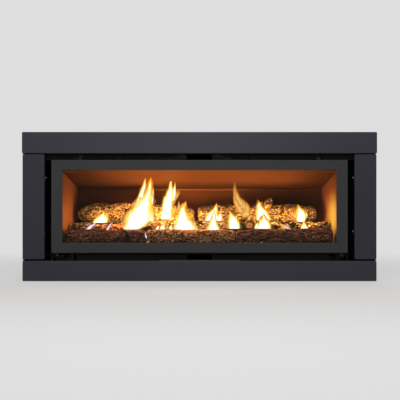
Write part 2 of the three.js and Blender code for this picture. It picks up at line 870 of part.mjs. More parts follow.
// Sloping deflector over the fire: its rear edge rests on the ledge of the back.
function buildBaffle() {
  const frontZ = boxTop - baffle.frontDrop;
  const rearY = boxBack - seatGap;
  const t = baffle.thickness;
  const section = outline([
    [baffle.frontY, frontZ - t],
    [baffle.frontY, frontZ + baffle.lip],
    [baffle.frontY + t, frontZ + baffle.lip],
    [baffle.frontY + t, frontZ],
    [rearY - baffle.ledge, baffleRearZ + t],
    [rearY, baffleRearZ + t],
    [rearY, baffleRearZ],
    [rearY - baffle.ledge, baffleRearZ],
  ]);
  place("baffle", pushX(section, -baffleHalf, baffleHalf), enamel);
}

function buildFlue() {
  const { wall, flange } = flue;
  const pipeWall = (radius, from, to) => {
    const profile = [
      [radius - wall, from],
      [radius + flange, from],
      [radius + flange, from + flue.flangeThickness],
      [radius, from + flue.flangeThickness],
      [radius, to],
      [radius - wall, to],
      [radius - wall, from],
    ].map(([r, z]) => new THREE.Vector2(r, z));
    const ring = new THREE.LatheGeometry(profile, flue.sides).rotateX(Math.PI / 2);
    return solidOf(ring).translate([0, flue.y, 0]);
  };
  const innerFrom = boxTop + firebox.sheet + seatGap;
  place("flue_inner", pipeWall(flue.innerRadius, innerFrom, casingTop + flue.innerRise), galvanised);
  const outerFrom = casingTop + casing.sheet + seatGap;
  place("flue_outer", pipeWall(flue.outerRadius, outerFrom, outerFrom + flue.outerHeight), galvanised);
}

// ---- door ----

// C section of a door member: face, outer return and rear lip, as [distance in from the outer edge, y].
function memberSection(face) {
  const { frontY, sheet, lip, edgeRound } = door;
  return [
    [edgeRound, frontY],
    [face - edgeRound, frontY],
    [face, frontY + edgeRound],
    [face, frontY + sheet],
    [sheet, frontY + sheet],
    [sheet, doorRear - sheet],
    [lip, doorRear - sheet],
    [lip, doorRear],
    [0, doorRear],
    [0, frontY + edgeRound],
  ];
}

function buildDoor() {
  const gap = seatGap / 2;
  // mitre from the outer corner to the view opening's corner, seen from the front
  const reach = door.mitreReach;
  const wedge = (points) => pushY(outline(points), door.frontY - reach, doorRear + reach);
  const slopeAt = (face) => (reach * door.sideFace) / face;
  const topWedge = wedge([
    [-doorHalf + gap, doorTop],
    [-doorHalf + gap - 0.001, doorTop + reach],
    [doorHalf - gap + 0.001, doorTop + reach],
    [doorHalf - gap, doorTop],
    [doorHalf - slopeAt(door.topFace) - gap, doorTop - reach],
    [-doorHalf + slopeAt(door.topFace) + gap, doorTop - reach],
  ]);
  const bottomWedge = wedge([
    [-doorHalf + gap, doorBottom],
    [-doorHalf + gap, doorBottom - reach],
    [doorHalf - gap, doorBottom - reach],
    [doorHalf - gap, doorBottom],
    [doorHalf - slopeAt(door.bottomFace) - gap, doorBottom + reach],
    [-doorHalf + slopeAt(door.bottomFace) + gap, doorBottom + reach],
  ]);
  const sideWedge = wedge([
    [doorHalf, doorBottom + gap],
    [doorHalf - slopeAt(door.bottomFace), doorBottom + reach + gap],
    [doorHalf - slopeAt(door.topFace), doorTop - reach - gap],
    [doorHalf, doorTop - gap],
    [doorHalf + reach, doorTop - gap],
    [doorHalf + reach, doorBottom + gap],
  ]);

  const hookPlate = (x) => {
    const r = hook.pinRadius + seatGap;
    const w = hook.wall;
    const profile = outline([
      [doorRear - door.sheet, doorTop - 14],
      [doorRear, doorTop - 14],
      [doorRear, doorTop - gasket.inset + 1],
      [hookPin.y - r, hookPin.z - 1.5 * r],
      [hookPin.y - r, hookPin.z],
      [hookPin.y - 0.7 * r, hookPin.z + 0.75 * r],
      [hookPin.y, hookPin.z + r],
      [hookPin.y + 0.7 * r, hookPin.z + 0.75 * r],
      [hookPin.y + r, hookPin.z],
      [hookPin.y + r, hookPin.z - 1.2 * r],
      [hookPin.y + r + w * 0.7, hookPin.z - 1.2 * r],
      [hookPin.y + r + w, hookPin.z + 1],
      [hookPin.y + r, hookPin.z + r + w * 0.6],
      [hookPin.y, hookPin.z + r + w],
      [hookPin.y - r, hookPin.z + r + w * 0.7],
      [doorRear - door.sheet, doorTop - 1],
    ]);
    return pushX(profile, x - hook.width / 2, x + hook.width / 2);
  };
  const topSection = outline(memberSection(door.topFace).map(([a, y]) => [y, doorTop - a]));
  const top = join(
    pushX(topSection, -doorHalf, doorHalf).intersect(topWedge),
    hookPlate(-hookX),
    hookPlate(hookX),
  );
  place("door_top", top, doorGrey);

  // tongue under the door that slides between the two leaves of the clip
  const tongueZ = doorBottom - doorClip.drop;
  const tongue = (x) => {
    const x0 = x - doorClip.width / 2;
    const x1 = x + doorClip.width / 2;
    return join(
      block(x0, x1, doorRear - door.sheet, doorRear, tongueZ, doorBottom + 6),
      block(x0, x1, doorRear - 1, doorRear + doorClip.reach, tongueZ, tongueZ + doorClip.blade),
    );
  };
  const bottomSection = outline(memberSection(door.bottomFace).map(([a, y]) => [y, doorBottom + a]));
  const bottom = join(
    pushX(bottomSection, -doorHalf, doorHalf).intersect(bottomWedge),
    tongue(-clipX),
    tongue(clipX),
  );
  place("door_bottom", bottom, doorGrey);

  const sideSection = outline(memberSection(door.sideFace).map(([a, y]) => [doorHalf - a, y]));
  const side = pushZ(sideSection, doorBottom, doorTop).intersect(sideWedge);
  place("door_right", side, doorGrey);
  place("door_left", mirrored(side), doorGrey);

  const glassY = door.frontY + door.sheet + seatGap;
  const { thickness, overlap } = glassPane;
  const paneShape = roundedOutline(
    -viewHalf - overlap,
    viewHalf + overlap,
    viewBottom - overlap,
    viewTop + overlap,
    4,
  );
  place("glass", pushY(paneShape, glassY, glassY + thickness), clearGlass);

  // clamping strips behind the glass, folded back to the frame's rear lip
  const stripY = glassY + thickness + seatGap;
  const strip = (inner, outward) => {
    const half = viewHalf - retainer.sideGap;
    const outer = inner + outward * retainer.height;
    const low = Math.min(inner, outer);
    const high = Math.max(inner, outer);
    const foldLow = outward > 0 ? high - retainer.thickness : low;
    return join(
      block(-half, half, stripY, stripY + retainer.thickness, low, high),
      block(-half, half, stripY, doorRear - door.sheet - seatGap, foldLow, foldLow + retainer.thickness),
    );
  };
  place("glass_retainer_upper", strip(viewTop + retainer.overlap, 1), blackSteel);
  place("glass_retainer_lower", strip(viewBottom - retainer.overlap, -1), blackSteel);

  const ring = (inset) =>
    roundedOutline(-doorHalf + inset, doorHalf - inset, doorBottom + inset, doorTop - inset, 14);
  const ropeShape = ring(gasket.inset + gasket.bevel);
  ropeShape.holes.push(ring(gasket.inset + gasket.width - gasket.bevel));
  const gasketRear = firebox.frontY - seatGap;
  const gasketFront = doorRear + seatGap;
  place(
    "rope_gasket",
    pushY(ropeShape, gasketFront + gasket.bevel, gasketRear - gasket.bevel, {
      bevelEnabled: true,
      bevelSize: gasket.bevel,
      bevelThickness: gasket.bevel,
      bevelSegments: 1,
    }),
    rope,
  );

  // spring clip on a bracket that stands on the base pan
  const clip = (() => {
    const { leaf, sheet, footLength } = doorClip;
    const x0 = clipX - doorClip.width / 2;
    const x1 = clipX + doorClip.width / 2;
    const leafFront = doorRear + 6;
    const webY = doorRear + doorClip.reach + runGap;
    const webRear = webY + sheet;
    const lowLeaf = tongueZ - seatGap - leaf;
    const highLeaf = tongueZ + doorClip.blade + seatGap;
    const base = panTop + seatGap;
    const postLeft = postX - doorClip.postWidth / 2;
    const postRight = postX + doorClip.postWidth / 2;
    return join(
      block(x0, x1, leafFront, webRear, lowLeaf, lowLeaf + leaf),
      block(x0, x1, leafFront, webRear, highLeaf, highLeaf + leaf),
      block(x0, postRight, webY, webRear, lowLeaf, highLeaf + leaf),
      block(postLeft, postRight, webY, webRear, base, highLeaf + leaf),
      block(postLeft, postRight, webY, webY + footLength, base, base + sheet),
    );
  })();
  place("door_clip_right", clip, castGrey);
  place("door_clip_left", mirrored(clip), castGrey);
}

// ---- burner and gas train ----

function buildBurner() {
  const { frontY, sheet } = tray;
  const base = boxFloorTop + seatGap;
  const tubeRadius = venturi.bore + venturi.wall + seatGap;
  place(
    "burner_tray",
    cut(
      block(trayLeft, deckHalf, frontY, trayRear, base, trayRim),
      block(trayLeft + sheet, deckHalf - sheet, frontY + sheet, trayRear - sheet, base + sheet, trayRim + 1),
      bar("x", tubeRadius, trayLeft - 1, trayLeft + sheet + 1, [venturi.y, venturiZ], 20),
    ),
    blackSteel,
  );

  // stepped cover: three levels joined by risers
  const t = deck.sheet;
  const [first, second] = deck.stepY;
  const [low, middle, high] = levels;
  const section = outline([
    [deck.frontY, low],
    [first, low],
    [first + deck.riser, middle],
    [second, middle],
    [second + deck.riser, high],
    [deckRear, high],
    [deckRear, low - t],
    [deckRear - t, low - t],
    [deckRear - t, high - t],
    [second + deck.riser + t, high - t],
    [second + t, middle - t],
    [first + deck.riser + t, middle - t],
    [first + t, low - t],
    [deck.frontY, low - t],
  ]);
  const slotHalf = deck.slotLength / 2;
  const slotCount = 2 * Math.floor((deckHalf - deck.slotInset) / deck.slotPitch) + 1;
  const slots = (y, level) =>
    row(slotCount, deck.slotPitch).map((x) =>
      block(x - slotHalf, x + slotHalf, y, y + deck.slotWidth, level - 3 * t, level + t),
    );
  place(
    "burner_deck",
    cut(
      pushX(section, -deckHalf, deckHalf),
      ...slots(first - deck.slotWidth - deck.slotMargin[0], low),
      ...slots(second - deck.slotWidth - deck.slotMargin[1], middle),
    ),
    blackSteel,
  );

  // mixing tube with a bell mouth, through the end wall of the tray
  const bore = venturi.bore;
  const wall = venturi.wall;
  const tubeProfile = [
    [bore, venturi.length],
    [bore, venturi.bellLength],
    [venturi.bell - wall, 0],
    [venturi.bell, 0],
    [bore + wall, venturi.bellLength],
    [bore + wall, venturi.length],
    [bore, venturi.length],
  ].map(([r, z]) => new THREE.Vector2(r, z));
  const tube = solidOf(new THREE.LatheGeometry(tubeProfile, 20).rotateZ(-Math.PI / 2));
  place("venturi", tube.translate([venturiStart, venturi.y, venturiZ]), castGrey);

  // sleeve that turns on the tube to set the primary air
  const from = venturiStart + venturi.bellLength + 1;
  const sleeve = cut(
    bar("x", tubeRadius + shutter.wall, from, from + shutter.length, [venturi.y, venturiZ], 24),
    bar("x", tubeRadius, from - 1, from + shutter.length + 1, [venturi.y, venturiZ], 24),
    block(
      from + shutter.windowEdge,
      from + shutter.length - shutter.windowEdge,
      venturi.y - 2 * tubeRadius,
      venturi.y + 2 * tubeRadius,
      venturiZ - shutter.windowHeight / 2,
      venturiZ + shutter.windowHeight / 2,
    ),
  );
  const tab = block(
    from,
    from + shutter.tabThickness,
    venturi.y - shutter.tabWidth / 2,
    venturi.y + shutter.tabWidth / 2,
    venturiZ + tubeRadius + 0.5,
    venturiZ + tubeRadius + shutter.wall + shutter.tab,
  );
  place("air_shutter", join(sleeve, tab), galvanised);

  // pilot: hood, flame sensor and electrode on one bracket behind the front logs
  const foot = levels[0] + seatGap;
  const px = pilotX;
  const py = pilot.y;
  place(
    "pilot_burner",
    join(
      block(px - 16, px + 16, py - 5, py + 5, foot, foot + 2),
      bar("z", 3, foot + 1, foot + pilot.height - 8, [px, py], 10),
      bar("z", pilot.hoodRadius, foot + pilot.height - 9, foot + pilot.height, [px, py], 12),
      bar("z", 1.6, foot + 1, foot + pilot.height + 3, [px - 11, py], 8),
      bar("z", 1.6, foot + 1, foot + pilot.height + 1, [px + 11, py], 8),
    ),
    castGrey,
  );
}

function buildGasTrain() {
  const x0 = valveX - valve.width / 2;
  const x1 = valveX + valve.width / 2;
  const top = valve.base + valve.height;
  const y0 = valve.y;
  const y1 = valve.y + valve.depth;
  const bodyShape = roundedOutline(x0, x1, valve.base, top, 6);
  const panelFront = upperPlate.y - seatGap - panel.thickness;
  const shaftEnd = panelFront - knob.depth + 2;
  const foot = panTop + seatGap;
  const shaft = [valveX, valve.knobZ];
  const { screwCap, legHalf, legInset, footHalf, footInset } = valve;
  const footTop = foot + valve.footSheet;
  place(
    "gas_valve",
    cut(
      join(
        pushY(bodyShape, y0, y1),
        bar("y", valve.bossRadius, y0 - legInset, y0 + 1, shaft, 20),
        bar("y", valve.shaftRadius, shaftEnd, y0, shaft, 14),
        bar("z", screwCap.radius, top - 1, top + screwCap.height, [valveX + screwCap.x, y0 + screwCap.y], 18),
        block(valveX - legHalf, valveX + legHalf, y0 + legInset, y1 - legInset, foot, valve.base + 1),
        block(valveX - footHalf, valveX + footHalf, y0 + footInset, y1 - footInset, foot, footTop),
      ),
      bar("x", gasPipe.radius + seatGap, x0 - 1, x0 + valve.socketDepth, [pipeY, pipeZ], 14),
      bar("x", cock.pipeRadius + seatGap, x0 - 1, x0 + valve.socketDepth, [cockPipeY, cock.z], 14),
    ),
    castGrey,
  );

  const nozzleX = injectorX + injector.nozzleStart;
  const nozzleEnd = nozzleX + injector.nozzleLength;
  const nozzle = bar("x", injector.nozzleRadius, nozzleX, nozzleEnd, [venturi.y, venturiZ], 6);
  const plugEnd = x0 + valve.socketDepth - 2; // the pipes end 2 mm short of their sockets
  place(
    "burner_pipe",
    join(
      pipe(
        [
          [plugEnd, pipeY, pipeZ],
          [injectorX, pipeY, pipeZ],
          [injectorX, venturi.y, pipeZ],
          [injectorX, venturi.y, venturiZ],
          [injectorX + injector.pipeEnd, venturi.y, venturiZ],
        ],
        gasPipe.radius,
        gasPipe.bend,
        26,
      ),
      nozzle,
    ),
    copper,
  );

  const bodyY = [cockPipeY, cock.z];
  const left = cockX - cock.length / 2;
  const right = cockX + cock.length / 2;
  const pipeStart = -casingHalf - cock.stubLength;
  place(
    "inlet_cock",
    cut(
      join(
        bar("x", cock.bodyRadius, left, right, bodyY, 6),
        bar("x", cock.pipeRadius, pipeStart, plugEnd, bodyY, 14),
        bar("y", cock.bodyRadius - 3, cockPipeY - cock.bodyRadius - 3, cockPipeY, [cockX, cock.z], 16),
        bar("y", cock.stemRadius, leverY - cock.leverThickness, cockPipeY, [cockX, cock.z], 12),
      ),
      bar("x", cock.pipeBore, pipeStart - 1, pipeStart + cock.boreDepth, bodyY, 14),
    ),
    brass,
  );
  const leverShape = new THREE.Shape();
  const r = cock.leverWidth / 2 + 2;
  leverShape.absarc(cockX, cock.z, r, -Math.PI / 2, Math.PI / 2, true);
  leverShape.lineTo(cockX + cock.leverLength, cock.z + cock.leverWidth / 2);
  leverShape.lineTo(cockX + cock.leverLength, cock.z - cock.leverWidth / 2);
  const lever = cut(
    pushY(leverShape, leverY, leverY + cock.leverThickness),
    bar("y", cock.stemRadius + seatGap, leverY - 1, leverY + 4, [cockX, cock.z], 12),
  );
  place("cock_lever", lever, leverYellow);
}

// ---- fan ----

function buildFan() {
  const axis = [fanY, panTop + fan.axisHeight];
  const half = fan.length / 2;
  const outer = fan.rotorRadius;
  const root = outer - fan.bladeDepth;
  // forward-curved blade: a strip between two arcs
  const sweep = Math.PI / 7;
  const bladeShape = (() => {
    const inside = [];
    const outside = [];
    for (let i = 0; i <= 2; i++) {
      const r = root - 0.4 + ((fan.bladeDepth - 0.2) * i) / 2;
      const angle = sweep * Math.pow(i / 2, 1.6);
      const halfAngle = fan.bladeThickness / 2 / r;
      inside.push([r * Math.cos(angle - halfAngle), r * Math.sin(angle - halfAngle)]);
      outside.unshift([r * Math.cos(angle + halfAngle), r * Math.sin(angle + halfAngle)]);
    }
    return outline([...inside, ...outside]);
  })();
  const blade = pushX(bladeShape, -half + 0.5, half - 0.5);
  const bladeStep = 360 / fan.bladeCount;
  const blades = Array.from({ length: fan.bladeCount }, (_, i) => blade.rotate([bladeStep * i, 0, 0]));
  const disc = (x) => bar("x", outer, x - fan.disc / 2, x + fan.disc / 2, [0, 0], 30);
  const motorSide = half + fan.tipGap + fan.sheet + seatGap;
  const rotor = join(
    disc(-half + fan.disc / 2),
    disc(half - fan.disc / 2),
    cut(disc(0), bar("x", root - 1, -5, 5, [0, 0], 24)),
    ...blades,
    bar("x", fan.shaftRadius, -half - fan.tipGap - 1, -half + 1, [0, 0], 12),
    bar("x", fan.shaftRadius, half - 1, motorSide + 10, [0, 0], 12),
  );
  place("fan_rotor", rotor.translate([0, ...axis]), galvanised);

  // scroll: a sheet that opens away from the rotor and rises to the outlet behind the firebox
  const inner = outer + fan.tipGap;
  const scroll = [];
  const back = [];
  const turns = 9;
  for (let i = 0; i <= turns; i++) {
    const angle = -0.75 * Math.PI + ((0.75 * Math.PI) / turns) * i;
    const r = inner + (4 * i) / turns;
    scroll.push([axis[0] + r * Math.cos(angle), axis[1] + r * Math.sin(angle)]);
    back.unshift([axis[0] + (r + fan.sheet) * Math.cos(angle), axis[1] + (r + fan.sheet) * Math.sin(angle)]);
  }
  const outletTop = axis[1] + outer + 16;
  scroll.push([axis[0] + inner + 4, outletTop]);
  back.unshift([axis[0] + inner + 4 + fan.sheet, outletTop]);
  const scrollSheet = pushX(outline([...scroll, ...back]), -half - fan.tipGap - 1, half + fan.tipGap + 1);
  const tongue = pushX(
    outline([
      [axis[0] - 8, outletTop],
      [axis[0] - 8 - fan.sheet, outletTop],
      [axis[0] - 16 - fan.sheet, axis[1] + inner + 1],
      [axis[0] - fan.tongueReach, axis[1] + fan.tongueRise],
      [axis[0] - fan.tongueReach + fan.sheet, axis[1] + fan.tongueRise],
      [axis[0] - 16 + 1, axis[1] + inner - 1.5],
    ]),
    -half - fan.tipGap - 1,
    half + fan.tipGap + 1,
  );
  const endShape = roundedOutline(axis[0] - inner - 8, axis[0] + inner + 6, panTop + seatGap, outletTop, 5);
  const end = (x) =>
    cut(
      pushX(endShape, x, x + fan.sheet),
      bar("x", fan.shaftRadius + seatGap, x - 1, x + fan.sheet + 1, axis, 16),
    );
  place(
    "fan_housing",
    join(scrollSheet, tongue, end(half + fan.tipGap), end(-half - fan.tipGap - fan.sheet)),
    galvanised,
  );

  const footEnd = motorSide + fan.motorFoot.width;
  const footHalf = fan.motorFoot.depth / 2;
  const motor = cut(
    join(
      bar("x", fan.motorRadius, motorSide, motorSide + fan.motorLength, axis, 24),
      block(motorSide, footEnd, axis[0] - footHalf, axis[0] + footHalf, panTop + seatGap, axis[1]),
    ),
    bar("x", fan.shaftRadius + seatGap, motorSide - 1, motorSide + fan.socketDepth, axis, 16),
  );
  place("fan_motor", motor, castGrey);
}

// ---- controls behind the flap ----

function buildControls() {
  const rear = upperPlate.y - seatGap;
  const front = rear - panel.thickness;
  const z = valve.knobZ;
  const shape = roundedOutline(panelRight - panel.width, panelRight, panel.bottom, panel.top, 5);
  const plate = cut(
    pushY(shape, front, rear),
    bar("y", valve.shaftRadius + runGap, front - 1, rear + 1, [valveX, z], 16),
    bar("y", igniter.radius + runGap, front - 1, rear + 1, [igniterX, z], 20),
    block(
      rockerX - rocker.width / 2 - runGap,
      rockerX + rocker.width / 2 + runGap,
      front - 1,
      rear + 1,
      z - rocker.height / 2 - rocker.clearance,
      z + rocker.height / 2 + rocker.clearance,
    ),
  );
  place("control_panel", plate, blackSteel);

  const knobRear = front - seatGap;
  const knobFront = knobRear - knob.depth;
  const rim = Array.from({ length: knob.flutes * 3 }, (_, i) => {
    const angle = (2 * Math.PI * i) / (knob.flutes * 3);
    const r = knob.radius - (knob.fluteDepth * (1 - Math.cos(angle * knob.flutes))) / 2;
    return [valveX + r * Math.cos(angle), z + r * Math.sin(angle)];
  });
  const knobBody = cut(
    join(
      pushY(outline(rim), knobFront + 2, knobRear),
      bar("y", knob.radius - 3, knobFront, knobFront + 3, [valveX, z], 24),
    ),
    bar("y", valve.shaftRadius + seatGap, knobFront + 1.6, knobRear + 1, [valveX, z], 14),
  );
  place("gas_knob", knobBody, knobBlack);

  const buttonFront = front - igniter.depth;
  const flangeY = rear + lowerPlate.sheet + 1;
  place(
    "igniter_button",
    join(
      bar("y", igniter.radius, buttonFront, flangeY, [igniterX, z], 20),
      bar("y", igniter.radius + igniter.collar, flangeY, flangeY + 2, [igniterX, z], 20),
    ),
    knobBlack,
  );

  const rockerX0 = rockerX - rocker.width / 2;
  const rockerX1 = rockerX + rocker.width / 2;
  const h = rocker.height / 2;
  place(
    "fan_rocker",
    pushX(
      outline([
        [front - rocker.depth + 3, z - h + 0.5],
        [front - 1.5, z],
        [front - 3, z + h - 0.5],
        [rear, z + h - 1],
        [rear + 3, z + 4],
        [rear + 3, z - 4],
        [rear, z - h + 1],
      ]),
      rockerX0,
      rockerX1,
    ),
    knobBlack,
  );
}

// ---- ceramic logs ----

// How far a section is drawn in at a distance from an end that is rounded over a length.
function domeScale(distance, length) {
  if (distance >= length) return 1;
  return Math.max(domeTip, Math.sqrt(1 - (1 - distance / length) ** 2));
}

// A log lofted between two ends: an arched centre line, a tapering rough round section and two ends,
// broken square or rounded over the length that dome gives for each.
// extra makes the whole log thicker, which the cuts for the logs that lie on it use.
function logSolid(log, extra = 0) {
  const { from, to, radius, tip, arch = 0, rough = 0.06, rings = 10, sides = 12, phase = 0 } = log;
  const [headDome, tailDome] = log.dome ?? [0, 0];
  const start = new THREE.Vector3(...from);
  const end = new THREE.Vector3(...to);
  const along = end.clone().sub(start);
  const length = along.length();
  const direction = along.clone().normalize();
  const across = new THREE.Vector3(0, 0, 1).cross(direction).normalize();
  const up = direction.clone().cross(across).normalize();
  const positions = [];
  const ringAt = (t, scale, push) => {
    const centre = start.clone().addScaledVector(along, t).addScaledVector(up, arch * Math.sin(Math.PI * t));
    centre.addScaledVector(direction, push);
    const drawnIn = domeScale(t * length, headDome) * domeScale((1 - t) * length, tailDome);
    const base = (radius + (tip - radius) * t) * scale * drawnIn;
    for (let i = 0; i < sides; i++) {
      const angle = (2 * Math.PI * i) / sides;
      const lump =
        1 +
        rough * Math.sin(3 * angle + 9 * t + phase) +
        rough * 0.8 * Math.sin(5 * angle - 17 * t + 2 * phase) +
        rough * 0.7 * Math.sin(23 * t + phase);
      const r = base * lump + extra;
      const point = centre
        .clone()
        .addScaledVector(across, r * Math.cos(angle))
        .addScaledVector(up, r * Math.sin(angle));
      positions.push(point);
    }
  };
  ringAt(0, 0.82, -extra);
  for (let i = 0; i <= rings; i++) {
    const even = i / rings;
    const eased = (1 - Math.cos(Math.PI * even)) / 2;
    ringAt(0.03 + 0.94 * (headDome + tailDome > 0 ? eased : even), 1, 0);
  }
  ringAt(1, 0.84, extra);
  const ringCount = rings + 3;
  const first = positions.length;
  const centreOf = (ringIndex) =>
    positions
      .slice(ringIndex * sides, (ringIndex + 1) * sides)
      .reduce((sum, p) => sum.add(p), new THREE.Vector3())
      .divideScalar(sides);
  positions.push(centreOf(0), centreOf(ringCount - 1));
  const index = [];
  for (let ring = 0; ring < ringCount - 1; ring++) {
    for (let i = 0; i < sides; i++) {
      const a = ring * sides + i;
      const b = ring * sides + ((i + 1) % sides);
      index.push(a, b, a + sides, b, b + sides, a + sides);
    }
  }
  const last = (ringCount - 1) * sides;
  for (let i = 0; i < sides; i++) {
    const next = (i + 1) % sides;
    index.push(first, next, i);
    index.push(first + 1, last + i, last + next);
  }
  const geometry = new THREE.BufferGeometry();
  const coordinates = positions.flatMap((p) => [p.x, p.y, p.z]);
  geometry.setAttribute("position", new THREE.Float32BufferAttribute(coordinates, 3));
  geometry.setIndex(index);
  return solidOf(geometry);
}

// A box as long as the casing that clears what lies under a level, between two depths.
const under = (level, y0, y1) => block(-casingHalf, casingHalf, y0, y1, 0, level + seatGap);

// Each log lies on a level of the deck, or across its neighbours where it has none.
// The places along x are written for a deck of this half length, and stretch with it.
const along = (x) => (x * deckHalf) / fireRows.layoutHalf;
const fireBed = (() => {
  const [low, middle, high] = levels;
  const front = deck.frontY + fireRows.front;
  const embers = deck.stepY[0] + fireRows.embers;
  const back = deck.stepY[1] + fireRows.back;
  const ash = { rough: 0.16, rings: 13, sides: 10 };
  const log = (level, [x0, y0, z0], [x1, y1, z1], shape) => ({
    level,
    from: [along(x0), y0, z0],
    to: [along(x1), y1, z1],
    ...shape,
  });
  return {
    front_log_left: log(low, [-513, front - 2, low + 28], [-201, front, low + 26], {
      radius: 29,
      tip: 27,
      arch: 1,
      rough: 0.03,
    }),
    front_log_middle: log(low, [-197, front, low + 26], [134, front + 2, low + 27], {
      radius: 28,
      tip: 29,
      rough: 0.07,
      phase: 1.3,
    }),
    front_log_right: log(low, [139, front, low + 27], [504, front - 2, low + 30], {
      radius: 27,
      tip: 30,
      arch: 2,
      rough: 0.04,
      phase: 2.1,
    }),
    back_log_left: log(high, [-486, back, high + 33], [-298, back + 4, high + 36], {
      radius: 37,
      tip: 39,
      arch: 4,
      rough: 0.05,
      dome: [62, 0],
      phase: 0.6,
    }),
    back_log_mid_left: log(high, [-188, back + 2, high + 36], [-21, back, high + 30], {
      radius: 38,
      tip: 34,
      arch: 3,
      dome: [0, 14],
      phase: 2.7,
    }),
    back_log_mid_right: log(high, [-4, back + 2, high + 32], [226, back + 3, high + 37], {
      radius: 35,
      tip: 39,
      arch: 2,
      phase: 4.4,
    }),
    back_log_right: log(high, [262, back, high + 35], [466, back - 2, high + 35], {
      radius: 38,
      tip: 37,
      arch: 3,
      rough: 0.04,
      rings: 12,
      dome: [56, 26],
      phase: 5.2,
    }),
    ember_left: log(middle, [-500, embers, middle + 14], [-262, embers, middle + 16], {
      radius: 17,
      tip: 20,
      phase: 0.9,
      ...ash,
    }),
    ember_middle: log(middle, [-244, embers, middle + 21], [104, embers + 1, middle + 18], {
      radius: 22,
      tip: 19,
      phase: 3.1,
      ...ash,
    }),
    ember_right: log(middle, [262, embers, middle + 16], [502, embers, middle + 18], {
      radius: 19,
      tip: 21,
      phase: 4.9,
      ...ash,
    }),
    cross_log_left: log(null, [-352, back - 22, high + 62], [-176, back - 18, high + 92], {
      radius: 15,
      tip: 13,
      rings: 7,
      sides: 10,
      phase: 1.1,
    }),
    cross_log_right: log(null, [194, embers - 35, middle + 27], [208, embers + 43, middle + 48], {
      radius: 21,
      tip: 19,
      rough: 0.04,
      rings: 5,
      phase: 0.3,
    }),
    // broken branch that stands out of the log right of the middle, and is one piece with it
    stub: log(null, [222, back - 12, high + 58], [284, back - 20, high + 96], {
      radius: 15,
      tip: 10,
      rings: 4,
      sides: 10,
      phase: 2.2,
    }),
  };
})();

function buildFireBed() {
  const inflated = (name) => logSolid(fireBed[name], seatGap);
  const { stub, ...logs } = fireBed;
  const [low, middle, high] = levels;
  for (const [name, log] of Object.entries(logs)) {
    let solid = logSolid(log);
    if (name === "back_log_mid_right") solid = join(solid, logSolid(stub));
    if (log.level) solid = cut(solid, under(log.level, 0, casing.depth));
    if (name === "cross_log_left") {
      solid = cut(solid, inflated("back_log_left"), inflated("back_log_mid_left"));
    }
    if (name === "cross_log_right") {
      solid = cut(
        solid,
        inflated("back_log_mid_right"),
        inflated("front_log_right"),
        under(low, 0, casing.depth),
        under(middle, deck.stepY[0] - 14, casing.depth),
        under(high, deck.stepY[1] - seatGap, casing.depth),
      );
    }
    // a cut may leave a crumb beside the log: the log is the largest body
    const bodies = solid.decompose().sort((a, b) => b.volume() - a.volume());
    place(name, bodies[0], name.startsWith("ember") ? ember : bark);
  }
}

buildSurround();
buildFlap();
buildCasing();
buildUpperPlate();
buildLowerPlate();
buildFirebox();
buildBaffle();
buildFlue();
buildDoor();
buildBurner();
buildGasTrain();
buildFan();
buildControls();
buildFireBed();

export default insert;
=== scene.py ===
# Landscape gas log fireplace insert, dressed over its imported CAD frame.
# Metres, Z up, the glass faces -Y. Blender 4.5.

import json
import math

import bmesh
import bpy
import numpy as np
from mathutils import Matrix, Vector, noise


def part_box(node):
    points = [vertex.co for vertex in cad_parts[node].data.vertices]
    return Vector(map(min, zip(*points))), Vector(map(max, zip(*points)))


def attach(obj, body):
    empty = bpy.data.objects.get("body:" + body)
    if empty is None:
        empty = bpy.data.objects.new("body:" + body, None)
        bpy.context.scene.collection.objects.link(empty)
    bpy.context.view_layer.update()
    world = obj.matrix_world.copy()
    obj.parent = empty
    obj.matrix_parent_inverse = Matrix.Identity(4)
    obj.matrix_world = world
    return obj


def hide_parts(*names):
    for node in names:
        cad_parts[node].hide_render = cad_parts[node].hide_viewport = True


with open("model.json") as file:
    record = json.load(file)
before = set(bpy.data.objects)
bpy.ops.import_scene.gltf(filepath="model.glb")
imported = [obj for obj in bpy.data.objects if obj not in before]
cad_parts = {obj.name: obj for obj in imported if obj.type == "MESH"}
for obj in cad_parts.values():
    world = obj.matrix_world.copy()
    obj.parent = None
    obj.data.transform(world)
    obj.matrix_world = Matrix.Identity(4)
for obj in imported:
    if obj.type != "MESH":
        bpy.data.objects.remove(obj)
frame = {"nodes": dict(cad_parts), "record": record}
nodes = frame["nodes"]
scene = bpy.context.scene
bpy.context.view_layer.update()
print("frame loaded:", len(nodes), "nodes")

shot = {"place": (-0.0005, -3.21, 0.277), "lens": 73.8, "shift": (0.0016, 0.015), "reach": 100}
stage = {
    "floorHalf": 14.0,
    "pale": (0.735, 0.735, 0.735, 1),
    "floorGlow": 0.62,
    "fadeFrom": (0.9, 2.2),
    "ambient": 0.34,
}
# place, what it points at, size of its face (m) and watts
stageLamps = {
    "keyLight": ((-0.25, -3.0, 2.3), (0, -0.2, 0.28), (2.6, 1.4), 54),
    "faceGlow": ((0.0, -2.3, 0.85), (0, -0.2, 0.28), (0.5, 0.4), 7),
    "backLight": ((0.6, 2.6, 2.6), (0, 0, 0.3), (2.4, 1.6), 40),
}


def addObject(name, data):
    thing = bpy.data.objects.new(name, data)
    scene.collection.objects.link(thing)
    return thing


def makeCamera():
    camera = addObject("camera", bpy.data.cameras.new("camera"))
    camera.location = shot["place"]
    camera.rotation_euler = (math.radians(90), 0, 0)
    camera.data.lens = shot["lens"]
    camera.data.shift_x, camera.data.shift_y = shot["shift"]
    camera.data.clip_end = shot["reach"]
    scene.camera = camera


def addLamp(name, kind, place, power):
    data = bpy.data.lights.new(name, kind)
    data.energy = power
    lamp = addObject(name, data)
    lamp.location = place
    return lamp


